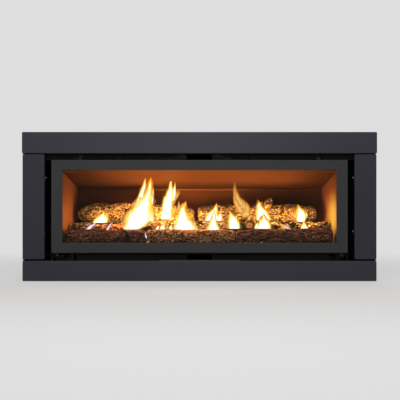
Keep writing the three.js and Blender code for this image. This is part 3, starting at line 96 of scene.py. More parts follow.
# a socket is linked to a node's input, and anything else is set on it as a constant
def wire(tree, node, inputs):
    for key, value in inputs.items():
        if isinstance(value, bpy.types.NodeSocket):
            tree.links.new(value, node.inputs[key])
        else:
            node.inputs[key].default_value = value
    return node


def put(tree, kind, inputs=None, **settings):
    node = tree.nodes.new(kind if "Node" in kind else "ShaderNode" + kind)
    for key, value in settings.items():
        setattr(node, key, value)
    return wire(tree, node, inputs or {})


def blankMaterial(name):
    material = bpy.data.materials.new(name)
    material.use_nodes = True
    return material, material.node_tree, material.node_tree.nodes["Principled BSDF"]


def rawPlace(tree):
    return put(tree, "TexCoord").outputs["Object"]


def objectPlace(tree, stretch=(1, 1, 1), turn=(0, 0, 0)):
    return put(tree, "Mapping", {"Vector": rawPlace(tree), "Scale": stretch, "Rotation": turn}).outputs[0]


def grain(tree, place, scale, detail, roughness=0.5, distortion=0.0):
    inputs = {"Vector": place, "Scale": scale, "Detail": detail}
    return put(tree, "TexNoise", {**inputs, "Roughness": roughness, "Distortion": distortion}).outputs[0]


def span(tree, value, low, high, outLow, outHigh, smooth=False):
    inputs = dict(enumerate((value, low, high, outLow, outHigh)))
    kind = "SMOOTHSTEP" if smooth else "LINEAR"
    return put(tree, "MapRange", inputs, interpolation_type=kind).outputs[0]


def ramp(tree, value, stops):
    node = put(tree, "ValToRGB", {0: value})
    elements = node.color_ramp.elements
    while len(elements) < len(stops):
        elements.new(0.5)
    for element, (place, colour) in zip(elements, stops):
        element.position = place
        element.color = (*colour, 1)
    return node.outputs[0]


# mixes colour a towards b; either is a socket or three numbers
def blend(tree, amount, a, b):
    a, b = (part if isinstance(part, bpy.types.NodeSocket) else (*part, 1) for part in (a, b))
    return put(tree, "Mix", {0: amount, 6: a, 7: b}, data_type="RGBA").outputs[2]


def calc(tree, operation, a, b=0.0):
    return put(tree, "Math", {0: a, 1: b}, operation=operation).outputs[0]


def bump(tree, height, distance, strength=1.0):
    return put(tree, "Bump", {"Height": height, "Distance": distance, "Strength": strength}).outputs[0]


def axes(tree):
    return put(tree, "SeparateXYZ", {0: rawPlace(tree)}).outputs


# mixes two shaders and makes them the surface
def surface(tree, share, under, over):
    mix = put(tree, "MixShader", {0: share, 1: under.outputs[0], 2: over.outputs[0]})
    wire(tree, tree.nodes["Material Output"], {"Surface": mix.outputs[0]})


# 1 for what the camera sees itself, in a mirror or through glass
def seenStraight(tree):
    ray = put(tree, "LightPath").outputs
    seen = calc(tree, "MAXIMUM", ray["Is Camera Ray"], ray["Is Glossy Ray"])
    return calc(tree, "MAXIMUM", seen, ray["Is Transmission Ray"])


# 1 in front of a depth, 0 behind it, with a painted edge between
def frontBand(tree, depthPlace, paintEdge=0.0005):
    return span(tree, axes(tree)["Y"], depthPlace, depthPlace + paintEdge, 1.0, 0.0)


def shade(colour, factor):
    return tuple(min(1.0, part * factor) for part in colour)


stoveBlack = (0.0045, 0.0045, 0.0048)
# colour, depth of the grain (m) and its scale, roughness, shine
paints = {
    "powderCoat": ((0.0235, 0.0233, 0.0325), 0.00010, 900, 0.44, 0.22),
    "doorPaint": ((0.029, 0.0285, 0.0300), 0.00005, 1300, 0.55, 0.16),
    # the stiles' paint is the powder coat made darker, as painted shade where the light falls off towards
    # the ends
    "shadedStilePaint": ((0.0200, 0.0198, 0.0278), 0.00010, 900, 0.46, 0.20),
    "stovePaint": (stoveBlack, 0.00006, 1100, 0.6, 0.08),
}


def paintFinish(name):
    colour, depth, size, gloss, shine = paints[name]
    material, tree, shader = blankMaterial(name)
    cloud = grain(tree, objectPlace(tree), 5.0, 4.0)
    speck = grain(tree, objectPlace(tree), size, 2.0)
    tone = ramp(tree, cloud, [(0.3, shade(colour, 0.93)), (0.7, shade(colour, 1.07))])
    fleck = span(tree, speck, 0.35, 0.7, 0.0, 0.22)
    wire(tree, shader, {
        "Base Color": blend(tree, fleck, tone, shade(colour, 1.45)),
        "Roughness": span(tree, cloud, 0.3, 0.7, gloss - 0.03, gloss + 0.03),
        "Specular IOR Level": shine,
        "Normal": bump(tree, speck, depth),
    })
    return material


zinc = {
    "dark": (0.27, 0.285, 0.295),
    "pale": (0.50, 0.51, 0.52),
    "streaked": (0.34, 0.35, 0.36),
    "spangle": 62,
    "warp": (40.0, 0.012),  # scale and reach
    "streak": (3, 60, 60),
    "paintedTo": -0.186,
    "insideShadeTo": 0.12,
    "insideHalf": 0.5872,
    "insideLow": 0.001,
    "insideTop": 0.5187,
}


def zincFinish():
    material, tree, shader = blankMaterial("zincCoat")
    place = objectPlace(tree)
    warp = grain(tree, place, zinc["warp"][0], 2.0)
    push = put(tree, "VectorMath", {0: warp, 3: zinc["warp"][1]}, operation="SCALE").outputs[0]
    bent = put(tree, "VectorMath", {0: place, 1: warp, 2: push}, operation="MULTIPLY_ADD").outputs[0]
    cells = put(tree, "TexVoronoi", {"Vector": bent, "Scale": zinc["spangle"]}).outputs
    facet = put(tree, "SeparateColor", {0: cells["Color"]}).outputs[0]
    tone = ramp(tree, facet, [(0.0, zinc["dark"]), (1.0, zinc["pale"])])
    streak = grain(tree, objectPlace(tree, zinc["streak"]), 4.0, 4.0)
    grey = blend(tree, span(tree, streak, 0.35, 0.7, 0.0, 0.35), tone, zinc["streaked"])
    # the front flanges are painted black, which also stands in for the shade in the seams in front of them;
    # further back the inside is darkened too, as painted shade in the recess behind the surround
    where = axes(tree)
    inside = calc(tree, "LESS_THAN", calc(tree, "ABSOLUTE", where["X"]), zinc["insideHalf"])
    inside = calc(tree, "MULTIPLY", inside, calc(tree, "LESS_THAN", where["Z"], zinc["insideTop"]))
    inside = calc(tree, "MULTIPLY", inside, calc(tree, "GREATER_THAN", where["Z"], zinc["insideLow"]))
    insideShade = calc(tree, "MULTIPLY", frontBand(tree, zinc["insideShadeTo"]), inside)
    painted = calc(tree, "MAXIMUM", frontBand(tree, zinc["paintedTo"]), insideShade)
    wire(tree, shader, {
        "Base Color": blend(tree, painted, grey, stoveBlack),
        "Metallic": span(tree, painted, 0.0, 1.0, 0.9, 0.0),
        "Roughness": blend(tree, painted, span(tree, facet, 0.0, 1.0, 0.34, 0.52), (0.6, 0.6, 0.6)),
        "Specular IOR Level": 0.1,
        "Normal": bump(tree, cells["Distance"], 0.00012, 0.5),
    })
    return material


# the painted shade where the flames' light falls off: axis, from and to this place (m) the enamel darkens
# down to the share; X is both ways, sideX one way
# the painted reflection of the flame at the right on the wall beside it: where it is, how far it reaches,
# and its colour
enamels = {
    "warmEnamel": {
        "deep": (0.19, 0.055, 0.015),
        "warm": (0.250, 0.077, 0.022),
        "gloss": 0.40,
        "shine": 0.22,
        "soot": [
            ("Y", 0.03, 0.15, 0.75), ("Z", 0.25, 0.36, 0.60), ("Z", 0.37, 0.415, 0.75),
            ("Z", 0.205, 0.14, 0.45), ("sideX", -0.30, -0.46, 0.86),
        ],
        "paintedReflection": ((0.490, -0.060, 0.238), (0.035, 0.115), (0.270, 0.176, 0.038)),
    },
    "baffleEnamel": {
        "deep": (0.128, 0.038, 0.008),
        "warm": (0.180, 0.054, 0.015),
        "gloss": 0.45,
        "shine": 0.04,
        "soot": [
            ("Y", -0.13, -0.02, 0.66), ("Y", -0.02, 0.13, 0.50),
            ("X", 0.34, 0.50, 0.50), ("sideX", 0.0, -0.32, 0.70),
        ],
    },
    "lipEnamel": {
        "deep": (0.17, 0.052, 0.015),
        "warm": (0.24, 0.076, 0.024),
        "gloss": 0.4,
        "shine": 0.1,
        "soot": [("X", 0.10, 0.30, 0.20)],
    },
    # a darker copy of the enamel for the back wall, as painted shade where the flames' light reaches less
    "shadedBackEnamel": {
        "deep": (0.070, 0.0175, 0.0015),
        "warm": (0.158, 0.044, 0.008),
        "gloss": 0.5,
        "shine": 0.02,
        "soot": [("X", 0.10, 0.46, 0.45)],
    },
}
enamelFront = -0.1690  # the enamel stops at this depth, and stove paint covers the flanges in front


def enamelFinish(name):
    enamel = enamels[name]
    material, tree, shader = blankMaterial(name)
    cloud = grain(tree, objectPlace(tree), 3.4, 3.0)
    brush = grain(tree, objectPlace(tree, (4, 4, 220)), 1.6, 3.0)
    tone = ramp(tree, cloud, [(0.32, enamel["deep"]), (0.68, enamel["warm"])])
    lined = blend(tree, span(tree, brush, 0.4, 0.75, 0.0, 0.16), tone, shade(enamel["deep"], 0.5))
    patches = span(tree, grain(tree, objectPlace(tree), 9.0, 3.0), 0.35, 0.65, -0.10, 0.10)
    # painted shade: the enamel darkens towards where the flames' light falls off
    for axis, start, stop, share in enamel["soot"]:
        place = axes(tree)[axis[-1]]
        if axis == "X":
            place = calc(tree, "ABSOLUTE", place)
        uneven = calc(tree, "ADD", calc(tree, "MULTIPLY", patches, stop - start), place)
        soot = span(tree, uneven, start, stop, 0.0, 1.0 - share, True)
        lined = blend(tree, soot, lined, shade(enamel["deep"], 0.08))
    # a painted reflection of the flame at the right, yellowing the wall beside it
    if "paintedReflection" in enamel:
        spot, reach, colour = enamel["paintedReflection"]
        away = put(tree, "VectorMath", {0: rawPlace(tree), 1: spot}, operation="DISTANCE").outputs["Value"]
        lined = blend(tree, span(tree, away, *reach, 1.0, 0.0, True), lined, colour)
    wire(tree, shader, {
        "Base Color": blend(tree, frontBand(tree, enamelFront), lined, stoveBlack),
        "Roughness": span(tree, brush, 0.3, 0.7, enamel["gloss"], enamel["gloss"] + 0.12),
        "Specular IOR Level": enamel["shine"],
        "Normal": bump(tree, brush, 0.00006),
    })
    return material


# dark and pale tone, metallic, roughness, scale of the mottle
metals = {
    "castMetal": ((0.24, 0.25, 0.26), (0.38, 0.39, 0.40), 0.85, 0.48, 420),
    "plainBrass": ((0.40, 0.22, 0.06), (0.62, 0.40, 0.14), 1.0, 0.28, 90),
    "bareCopper": ((0.34, 0.10, 0.045), (0.58, 0.24, 0.12), 1.0, 0.3, 70),
    "burntCrumb": ((0.02, 0.007, 0.003), (0.80, 0.45, 0.14), 0.0, 0.95, 85),
    # a near-black finish for the burner pipe where it shows in the gap under the door
    "darkenedPipe": ((0.012, 0.009, 0.008), (0.035, 0.022, 0.017), 0.6, 0.5, 70),
    "brightStud": ((0.07, 0.07, 0.07), (0.15, 0.15, 0.155), 1.0, 0.3, 200),
    "leverYellow": ((0.42, 0.29, 0.02), (0.62, 0.45, 0.05), 0.0, 0.4, 60),
    "blackPlastic": ((0.007, 0.007, 0.008), (0.018, 0.018, 0.020), 0.0, 0.42, 900),
}


def metalFinish(name):
    low, high, metallic, rough, size = metals[name]
    material, tree, shader = blankMaterial(name)
    mottle = grain(tree, objectPlace(tree), size, 4.0)
    rub = grain(tree, objectPlace(tree, (1, 1, 6)), 24.0, 3.0)
    tone = ramp(tree, mottle, [(0.3, low), (0.7, high)])
    wire(tree, shader, {
        "Base Color": blend(tree, span(tree, rub, 0.45, 0.75, 0.0, 0.4), tone, shade(low, 0.7)),
        "Metallic": metallic,
        "Roughness": calc(tree, "ADD", span(tree, rub, 0.3, 0.7, -0.05, 0.1), rough),
        "Normal": bump(tree, mottle, 0.00008),
    })
    return material


# lay: how far the two sets of strands lean (radians)
rope = {
    "low": (0.018, 0.018, 0.017), "high": (0.085, 0.083, 0.078), "strand": 210, "lay": 0.7, "fuzz": 700.0,
}


def ropeFinish():
    material, tree, shader = blankMaterial("braidedRope")
    strands = []
    for lay in (rope["lay"], -rope["lay"]):
        place = objectPlace(tree, turn=(0, lay, 0))
        strands.append(put(tree, "TexWave", {"Vector": place, "Scale": rope["strand"]}).outputs["Fac"])
    fuzz = grain(tree, objectPlace(tree), rope["fuzz"], 3.0)
    both = calc(tree, "MULTIPLY", calc(tree, "MAXIMUM", *strands), span(tree, fuzz, 0.2, 0.8, 0.6, 1.0))
    wire(tree, shader, {
        "Base Color": ramp(tree, both, [(0.1, rope["low"]), (0.9, rope["high"])]),
        "Roughness": 0.95,
        "Normal": bump(tree, both, 0.0008),
    })
    return material


def glassFinish():
    material, tree, shader = blankMaterial("clearGlass")
    tree.nodes.remove(shader)
    film = grain(tree, objectPlace(tree), 3.0, 3.0)
    clear = put(tree, "BsdfTransparent", {"Color": (0.985, 0.99, 0.985, 1)})
    rough = span(tree, film, 0.3, 0.7, 0.02, 0.06)
    shine = put(tree, "BsdfGlossy", {"Color": (0.9, 0.92, 0.92, 1), "Roughness": rough})
    surface(tree, 0.004, clear, shine)
    return material


# deep, middle and ridge colour, how much is burnt black, how strongly it breaks up into pale crumbs and
# dark pits, and the scale of these
# plainBark is the dimmer kind; frontBark, charredLitBark and litBark are brighter copies whose pale ridges
# are painted flame light on the logs nearest the flames, and charredLitBark is also more charred
barks = {
    "plainBark": ((0.015, 0.007, 0.004), (0.150, 0.050, 0.024), (0.43, 0.170, 0.080), 0.1, 0.25, 210),
    "frontBark": ((0.018, 0.006, 0.003), (0.36, 0.118, 0.046), (1.0, 0.48, 0.17), 0.1, 0.6, 190),
    "charredLitBark": ((0.016, 0.005, 0.002), (0.26, 0.098, 0.028), (0.86, 0.50, 0.155), 0.2, 0.9, 172),
    "litBark": ((0.060, 0.024, 0.006), (0.40, 0.17, 0.048), (1.0, 0.66, 0.235), 0.0, 0.9, 172),
    "liveEmber": ((0.008, 0.004, 0.003), (0.10, 0.042, 0.018), (0.55, 0.33, 0.15), 0.4, 1.0, 150),
}
# scales of the patches, the fibre and the bends in the crumbs' edges, and how far these bend (m)
barkGrain = {"patch": 16.0, "fibre": 420.0, "bend": 60.0, "bendBy": 0.012, "live": 38.0}
charcoal = (0.006, 0.0045, 0.004)
cutWood = {"low": (0.045, 0.018, 0.008), "high": (0.40, 0.195, 0.072), "ring": 430.0}
# places along x (m) where the ember bed glows red: middle, half width
emberGlow = {
    "places": [(-0.385, 0.028), (-0.318, 0.035), (-0.165, 0.020)],
    "stops": [
        (0.0, (0, 0, 0)), (0.3, (0.50, 0.022, 0.002)),
        (0.75, (1.0, 0.16, 0.012)), (1.0, (1.0, 0.52, 0.10)),
    ],
    "strength": 1.5,
}


def named(tree, label):
    return put(tree, "Attribute", attribute_name=label).outputs["Fac"]


def barkFinish(name):
    deep, brown, ridge, char, crumbly, size = barks[name]
    material, tree, shader = blankMaterial(name)
    place = objectPlace(tree)
    patch = grain(tree, place, barkGrain["patch"], 4.0, 0.6)
    fibre = grain(tree, place, barkGrain["fibre"], 3.0, 0.62)
    bend = grain(tree, place, barkGrain["bend"], 2.0)
    push = put(tree, "VectorMath", {0: bend, 3: barkGrain["bendBy"]}, operation="SCALE").outputs[0]
    warped = put(tree, "VectorMath", {0: place, 1: push}, operation="ADD").outputs[0]
    cells = {"Vector": warped, "Scale": size}
    edge = put(tree, "TexVoronoi", cells, feature="DISTANCE_TO_EDGE").outputs["Distance"]
    lot = put(tree, "SeparateColor", {0: put(tree, "TexVoronoi", cells).outputs["Color"]}).outputs[0]
    kept = span(tree, lot, 0.3, 0.75, 0.05, 1.0)
    crumb = calc(tree, "MULTIPLY", span(tree, edge, 0.04, 0.22, 0.0, 1.0, True), kept)
    body = ramp(tree, named(tree, "height"), [(0.12, deep), (0.5, brown), (0.95, ridge)])
    broken = calc(tree, "MULTIPLY", span(tree, patch, 0.35, 0.6, 0.45, 1.0), crumbly)
    body = blend(tree, broken, body, blend(tree, crumb, deep, ridge))
    body = blend(tree, span(tree, fibre, 0.35, 0.7, 0.4, 0.0), body, deep)
    charred = span(tree, patch, 0.62 - char * 0.3, 0.70 - char * 0.2, 0.0, 0.85, True)
    body = blend(tree, charred, body, charcoal)
    rings = calc(tree, "COSINE", calc(tree, "MULTIPLY", named(tree, "ringRadius"), cutWood["ring"]))
    cut = blend(tree, span(tree, rings, -1, 1, 1, 0), cutWood["low"], cutWood["high"])
    wire(tree, shader, {
        "Base Color": blend(tree, named(tree, "cutFace"), body, cut),
        "Roughness": span(tree, fibre, 0.3, 0.7, 0.95, 0.72),
        "Specular IOR Level": 0.06,
        "Normal": bump(tree, crumb, 0.0022 * crumbly, 0.9),
    })
    if name == "liveEmber":
        zone = 0.0
        for middle, half in emberGlow["places"]:
            off = calc(tree, "ABSOLUTE", calc(tree, "SUBTRACT", axes(tree)["X"], middle))
            zone = calc(tree, "MAXIMUM", span(tree, off, half, half * 0.5, 0.0, 1.0, True), zone)
        seam = span(tree, edge, 0.20, 0.02, 0.0, 1.0, True)
        live = span(tree, grain(tree, place, barkGrain["live"], 3.0, 0.6), 0.44, 0.60, 0.0, 1.0, True)
        heat = calc(tree, "MULTIPLY", calc(tree, "MULTIPLY", calc(tree, "ADD", seam, 0.10), live), zone)
        colour = ramp(tree, heat, emberGlow["stops"])
        wire(tree, shader, {"Emission Color": colour, "Emission Strength": emberGlow["strength"]})
        material.cycles.emission_sampling = "NONE"
    return material


# stops: colours from the rim to the heart; power: brightness from rim to heart; cover: how thick it looks;
# cool: how far the tip cools; foot: how much hotter all of it is; widen: its width next to the table's;
# streaks: how clear the gaps in it are; ragged: how far its rim wavers at the foot, and what the tip adds;
# tip: the share of its height from which it fades out
flameLooks = {
    "hot": {
        "stops": [
            (0.0, (1.0, 0.24, 0.01)), (0.13, (1.0, 0.46, 0.02)), (0.28, (1.0, 0.70, 0.05)),
            (0.46, (1.0, 0.84, 0.16)), (0.64, (1.0, 0.95, 0.50)), (0.86, (1.0, 1.0, 0.92)),
        ],
        "power": (0.95, 1.3), "cover": 1.0, "cool": 1.42, "foot": 0.28, "widen": 1.3,
        "streaks": 0.0, "ragged": (0.7, 1.3), "tip": 0.88,
    },
    "wisp": {
        "stops": [
            (0.0, (0.70, 0.12, 0.008)), (0.35, (0.98, 0.30, 0.02)),
            (0.7, (1.0, 0.45, 0.075)), (1.0, (1.0, 0.66, 0.20)),
        ],
        "power": (0.8, 1.05), "cover": 0.66, "cool": 0.75, "foot": 0.0, "widen": 1.2,
        "streaks": 0.55, "ragged": (0.3, 0.8), "tip": 0.40,
    },
    "blue": {
        "stops": [
            (0.0, (0.38, 0.06, 0.05)), (0.35, (0.58, 0.20, 0.24)),
            (0.65, (0.70, 0.46, 0.66)), (1.0, (1.0, 0.93, 1.0)),
        ],
        "power": (0.5, 1.2), "cover": 0.6, "cool": 0.4, "foot": 0.0, "widen": 1.0,
        "streaks": 0.0, "ragged": (0.25, 1.2), "tip": 0.8,
    },
    "haze": {
        "stops": [(0.0, (1.0, 0.24, 0.02)), (0.6, (1.0, 0.46, 0.07)), (1.0, (1.0, 0.70, 0.20))],
        "power": (0.9, 1.4), "cover": 0.38, "cool": 0.2, "foot": 0.0, "widen": 2.0,
        "streaks": 0.0, "ragged": (0.25, 1.2), "tip": 0.6,
    },
}


# stretch, scale, detail, roughness and distortion of the licks
lickGrain = ((1, 0.4, 0.16), 120.0, 3.0, 0.55, 0.8)


def flameFinish(name):
    look = flameLooks[name]
    material, tree, shader = blankMaterial(name + "Flame")
    tree.nodes.remove(shader)
    core, rise = named(tree, "core"), named(tree, "rise")
    lick = grain(tree, objectPlace(tree, lickGrain[0]), *lickGrain[1:])
    flick = calc(tree, "SUBTRACT", lick, 0.5)
    cooled = calc(tree, "MULTIPLY", calc(tree, "POWER", rise, 1.4), look["cool"])
    lift = calc(tree, "SUBTRACT", cooled, look["foot"])
    atFoot, added = look["ragged"]
    sway = calc(tree, "MULTIPLY", flick, span(tree, rise, 0.0, 1.0, atFoot, atFoot + added))
    body = span(tree, calc(tree, "ADD", core, sway), 0.0, 0.55, 0.0, look["cover"], True)
    if look["streaks"]:
        gaps = span(tree, lick, 0.40, 0.62, 1.0 - look["streaks"], 1.0, True)
        body = calc(tree, "MULTIPLY", body, gaps)
    if name == "haze":
        body = calc(tree, "MULTIPLY", body, core)
    tip = span(tree, rise, look["tip"], 1.0, 1.0, 0.0, True)
    ends = calc(tree, "MULTIPLY", tip, span(tree, rise, 0.0, 0.05, 0.0, 1.0, True))
    wave = calc(tree, "MULTIPLY", flick, span(tree, rise, 0.0, 1.0, 0.5, 1.7))
    heat = calc(tree, "SUBTRACT", calc(tree, "ADD", calc(tree, "MULTIPLY", core, 1.35), wave), lift)
    colour, power = ramp(tree, heat, look["stops"]), span(tree, heat, 0.0, 0.9, *look["power"])
    glow = put(tree, "Emission", {"Color": colour, "Strength": power})
    surface(tree, calc(tree, "MULTIPLY", body, ends), put(tree, "BsdfTransparent"), glow)
    material.cycles.emission_sampling = "NONE"
    return material


def floorFinish():
    material, tree, shader = blankMaterial("paleFloor")
    tree.nodes.remove(shader)
    soft = put(tree, "BsdfDiffuse", {"Color": stage["pale"]})
    flat = put(tree, "Emission", {"Color": stage["pale"]})
    far = put(tree, "VectorMath", {0: rawPlace(tree)}, operation="LENGTH").outputs["Value"]
    share = span(tree, far, *stage["fadeFrom"], stage["floorGlow"], 1.0, True)
    surface(tree, calc(tree, "MULTIPLY", seenStraight(tree), share), soft, flat)
    return material


def makeWorld():
    world = bpy.data.worlds.new("paleRoom")
    scene.world = world
    world.use_nodes = True
    tree = world.node_tree
    level = span(tree, seenStraight(tree), 0.0, 1.0, stage["ambient"], 1.0)
    wire(tree, tree.nodes["Background"], {"Color": stage["pale"], "Strength": level})


def makeStage():
    half = stage["floorHalf"]
    corners = [(-half, -half, 0), (half, -half, 0), (half, half, 0), (-half, half, 0)]
    mesh = bpy.data.meshes.new("floor")
    mesh.from_pydata(corners, [], [(0, 1, 2, 3)])
    mesh.materials.append(floorFinish())
    addObject("floor", mesh)
    makeWorld()
    for name, (place, target, size, power) in stageLamps.items():
        lamp = addLamp(name, "AREA", place, power)
        lamp.data.shape = "RECTANGLE"
        lamp.data.size, lamp.data.size_y = size
        lamp.rotation_euler = (Vector(target) - Vector(place)).to_track_quat("-Z", "Y").to_euler()


makeCamera()
makeStage()
print("camera and stage made")

finishes = {name: paintFinish(name) for name in paints}
finishes.update({name: metalFinish(name) for name in metals})
finishes["zincCoat"] = zincFinish()
finishes.update({name: enamelFinish(name) for name in enamels})
finishes["braidedRope"] = ropeFinish()
finishes["clearGlass"] = glassFinish()
finishes.update({name: barkFinish(name) for name in barks})

slotFinish = {
    "charcoal_paint": "powderCoat",
    "door_paint": "doorPaint",
    "black_steel": "stovePaint",
    "galvanised": "zincCoat",
    "enamel": "warmEnamel",
    "cast_metal": "castMetal",
    "ceramic_bark": "plainBark",
    "ceramic_ember": "liveEmber",
    "clear_glass": "clearGlass",
    "rope_seal": "braidedRope",
    "brass": "plainBrass",
    "copper": "bareCopper",
    "lever_yellow": "leverYellow",
    "black_plastic": "blackPlastic",
}
# nodes that wear another finish than their slot's; the back wall and the stiles wear darker copies of
# theirs, as painted shade
nodeFinish = {
    "firebox_back": "shadedBackEnamel",
    "baffle": "baffleEnamel",
    "door_clip_left": "stovePaint",
    "door_clip_right": "stovePaint",
    "firebox_floor": "stovePaint",
    "burner_pipe": "darkenedPipe",
    "left_stile": "shadedStilePaint",
    "right_stile": "shadedStilePaint",
}
for row in frame["record"]["subparts"]:
    node = row["node"]
    nodes[node].data.materials.clear()
    nodes[node].data.materials.append(finishes[nodeFinish.get(node, slotFinish[row["material_slot"]])])
print("finishes laid on the frame")


def addPiece(name, mesh, finish, body, replaced=()):
    mesh.materials.clear()
    mesh.materials.append(finishes[finish])
    piece = addObject(name, mesh)
    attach(piece, body)
    if replaced:
        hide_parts(*replaced)
    return piece


def meshFrom(shape, name):
    mesh = bpy.data.meshes.new(name)
    shape.to_mesh(mesh)
    shape.free()
    return mesh


def setValues(mesh, columns):
    for label, values in columns.items():
        mesh.attributes.new(label, "FLOAT", "POINT").data.foreach_set("value", values)


def plainMesh(source):
    graph = bpy.context.evaluated_depsgraph_get()
    return bpy.data.meshes.new_from_object(source.evaluated_get(graph))


def steps(low, high, count):
    return [low + (high - low) * i / (count - 1) for i in range(count)]


# round parts about z or y, turned smoother than the frame's; flutes are cut past rimShare of the radius
def turned(profile, centre, axis, segments=72, flutes=0, fluteDepth=0.0, rimShare=0.86):
    shape = bmesh.new()
    grid = []
    widest = max(radius for radius, _ in profile)
    for radius, along in profile:
        ring = []
        for i in range(segments):
            angle = 2 * math.pi * i / segments
            cut = fluteDepth * (0.5 - 0.5 * math.cos(flutes * angle)) if radius > widest * rimShare else 0.0
            a, b = (radius - cut) * math.cos(angle), (radius - cut) * math.sin(angle)
            place = (a, b, along) if axis == "z" else (b, along, a)
            ring.append(shape.verts.new(Vector(place) + Vector(centre)))
        grid.append(ring)
    for here, there in zip(grid, grid[1:] + grid[:1]):
        for i in range(segments):
            j = (i + 1) % segments
            shape.faces.new((here[i], here[j], there[j], there[i]))
    bmesh.ops.remove_doubles(shape, verts=shape.verts, dist=1e-6)
    bmesh.ops.dissolve_degenerate(shape, edges=shape.edges, dist=1e-7)
    bmesh.ops.recalc_face_normals(shape, faces=shape.faces)
    mesh = meshFrom(shape, "turned")
    mesh.set_sharp_from_angle(angle=math.radians(35))
    return mesh


# closes two like rings of points into a solid
def prism(shape, low, high):
    low, high = [shape.verts.new(place) for place in low], [shape.verts.new(place) for place in high]
    faces = [shape.faces.new(low), shape.faces.new(list(reversed(high)))]
    for i in range(len(low)):
        j = (i + 1) % len(low)
        faces.append(shape.faces.new((low[i], high[i], high[j], low[j])))
    bmesh.ops.recalc_face_normals(shape, faces=faces)


def shifted(places, offset):
    return [Vector(place) + Vector(offset) for place in places]


# beadTop and beadFoot are measured down from the top of the pipe
flueRing = {
    "wall": 0.0016, "flange": 0.012, "sheet": 0.002, "bead": 0.0012, "beadTop": 0.004, "beadFoot": 0.009,
}


def makeFlue():
    for name, node in (("flueInner", "flue_inner"), ("flueOuter", "flue_outer")):
        low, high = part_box(node)
        centre = ((low.x + high.x) / 2, (low.y + high.y) / 2, 0)
        w, f, s, b, beadTop, beadFoot = flueRing.values()
        z0, z1, outer = low.z, high.z, (high.x - low.x) / 2 - f
        profile = [
            (outer - w, z0), (outer + f - 0.0004, z0), (outer + f, z0 + s / 2),
            (outer + f - 0.0004, z0 + s), (outer + b, z0 + s), (outer, z0 + s + b),
            (outer, z1 - beadFoot), (outer + b, z1 - beadFoot + 0.0015),
            (outer + b, z1 - beadTop - 0.0015), (outer, z1 - beadTop),
            (outer, z1 - 0.0005), (outer - w / 2, z1), (outer - w, z1 - 0.0005),
        ]
        addPiece(name, turned(profile, centre, "z"), "zincCoat", "insert", [node])


# each profile runs from the panel to the tip: radius and depth as shares of the node's box
controls = {
    "gasKnob": {
        "node": "gas_knob",
        "body": "knob",
        "flutes": (22, 0.0009),
        "profile": [
            (0.0, 1.0), (0.90, 1.0), (1.0, 0.93), (1.0, 0.20), (0.97, 0.08),
            (0.90, 0.02), (0.80, 0.0), (0.76, 0.05), (0.70, 0.10), (0.0, 0.10),
        ],
    },
    "igniterCap": {
        "node": "igniter_button",
        "body": "igniter",
        "flutes": (0, 0.0),
        "profile": [
            (0.0, 1.0), (1.0, 1.0), (1.0, 0.85), (0.736, 0.85), (0.736, 0.07),
            (0.70, 0.02), (0.62, 0.0), (0.50, 0.03), (0.30, 0.05), (0.0, 0.055),
        ],
    },
}
# the bar across the knob's dished face, as shares of its radius, and how deep it stands in (m)
pointer = {"half": 0.13, "top": 0.7, "reach": 0.70, "deep": 0.0012, "proud": 0.0001}


def makeControls():
    for name, setting in controls.items():
        low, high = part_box(setting["node"])
        radius = (high.x - low.x) / 2
        centre = ((low.x + high.x) / 2, 0, (low.z + high.z) / 2)
        profile = [(r * radius, low.y + share * (high.y - low.y)) for r, share in setting["profile"]]
        mesh = turned(profile, centre, "y", 132, *setting["flutes"])
        if name == "gasKnob":
            addPointer(mesh, centre, low.y, radius)
        addPiece(name, mesh, "blackPlastic", setting["body"], [setting["node"]])


def addPointer(mesh, centre, front, radius):
    shape = bmesh.new()
    shape.from_mesh(mesh)
    half, reach = radius * pointer["half"], radius * pointer["reach"]
    rear, top = front + pointer["deep"], front + pointer["proud"]
    section = [(-half, rear), (-half * pointer["top"], top), (half * pointer["top"], top), (half, rear)]
    ends = [[(centre[0] + x, y, centre[2] + z) for x, y in section] for z in (-reach, reach)]
    prism(shape, *ends)
    shape.to_mesh(mesh)
    shape.free()


# rubber stops at the outer ends of the seams between the stiles and what they meet
stops = {
    "flapTop": 0.0769, "width": 0.0075, "clear": 0.0006, "front": -0.2090, "rear": -0.1950, "edge": 0.0004,
}


def makeStops():
    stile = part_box("right_stile")
    seams = [(stops["flapTop"], stile[0].z), (stile[1].z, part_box("top_rail")[0].z)]
    outer = stile[1].x - stops["edge"]
    inner = outer - stops["width"]
    front, rear = stops["front"], stops["rear"]
    outline = [(outer, front), (outer, rear), (inner, rear), (inner, front)]
    shape = bmesh.new()
    for side in (-1, 1):
        for low, high in seams:
            foot = [(side * x, y, low + stops["clear"]) for x, y in outline]
            prism(shape, foot, shifted(foot, (0, 0, high - low - 2 * stops["clear"])))
    addPiece("seamStops", meshFrom(shape, "seamStops"), "blackPlastic", "insert")


# enamelled trim of the firebox: wings close the baffle's ends against the splayed walls, and a lip runs
# under its rear edge; the walls run from wallFront over wallDepth, and frontTo and rearFrom pick their ends
trim = {
    "sheet": 0.0012, "clear": 0.0004, "rearGap": 0.009,
    "wallFront": -0.170, "wallDepth": 0.3117, "frontTo": -0.165, "rearFrom": 0.14,
    "lipHalf": 0.455, "lipHeight": 0.0065, "lipDepth": 0.0035, "lipTop": 0.3478,
}


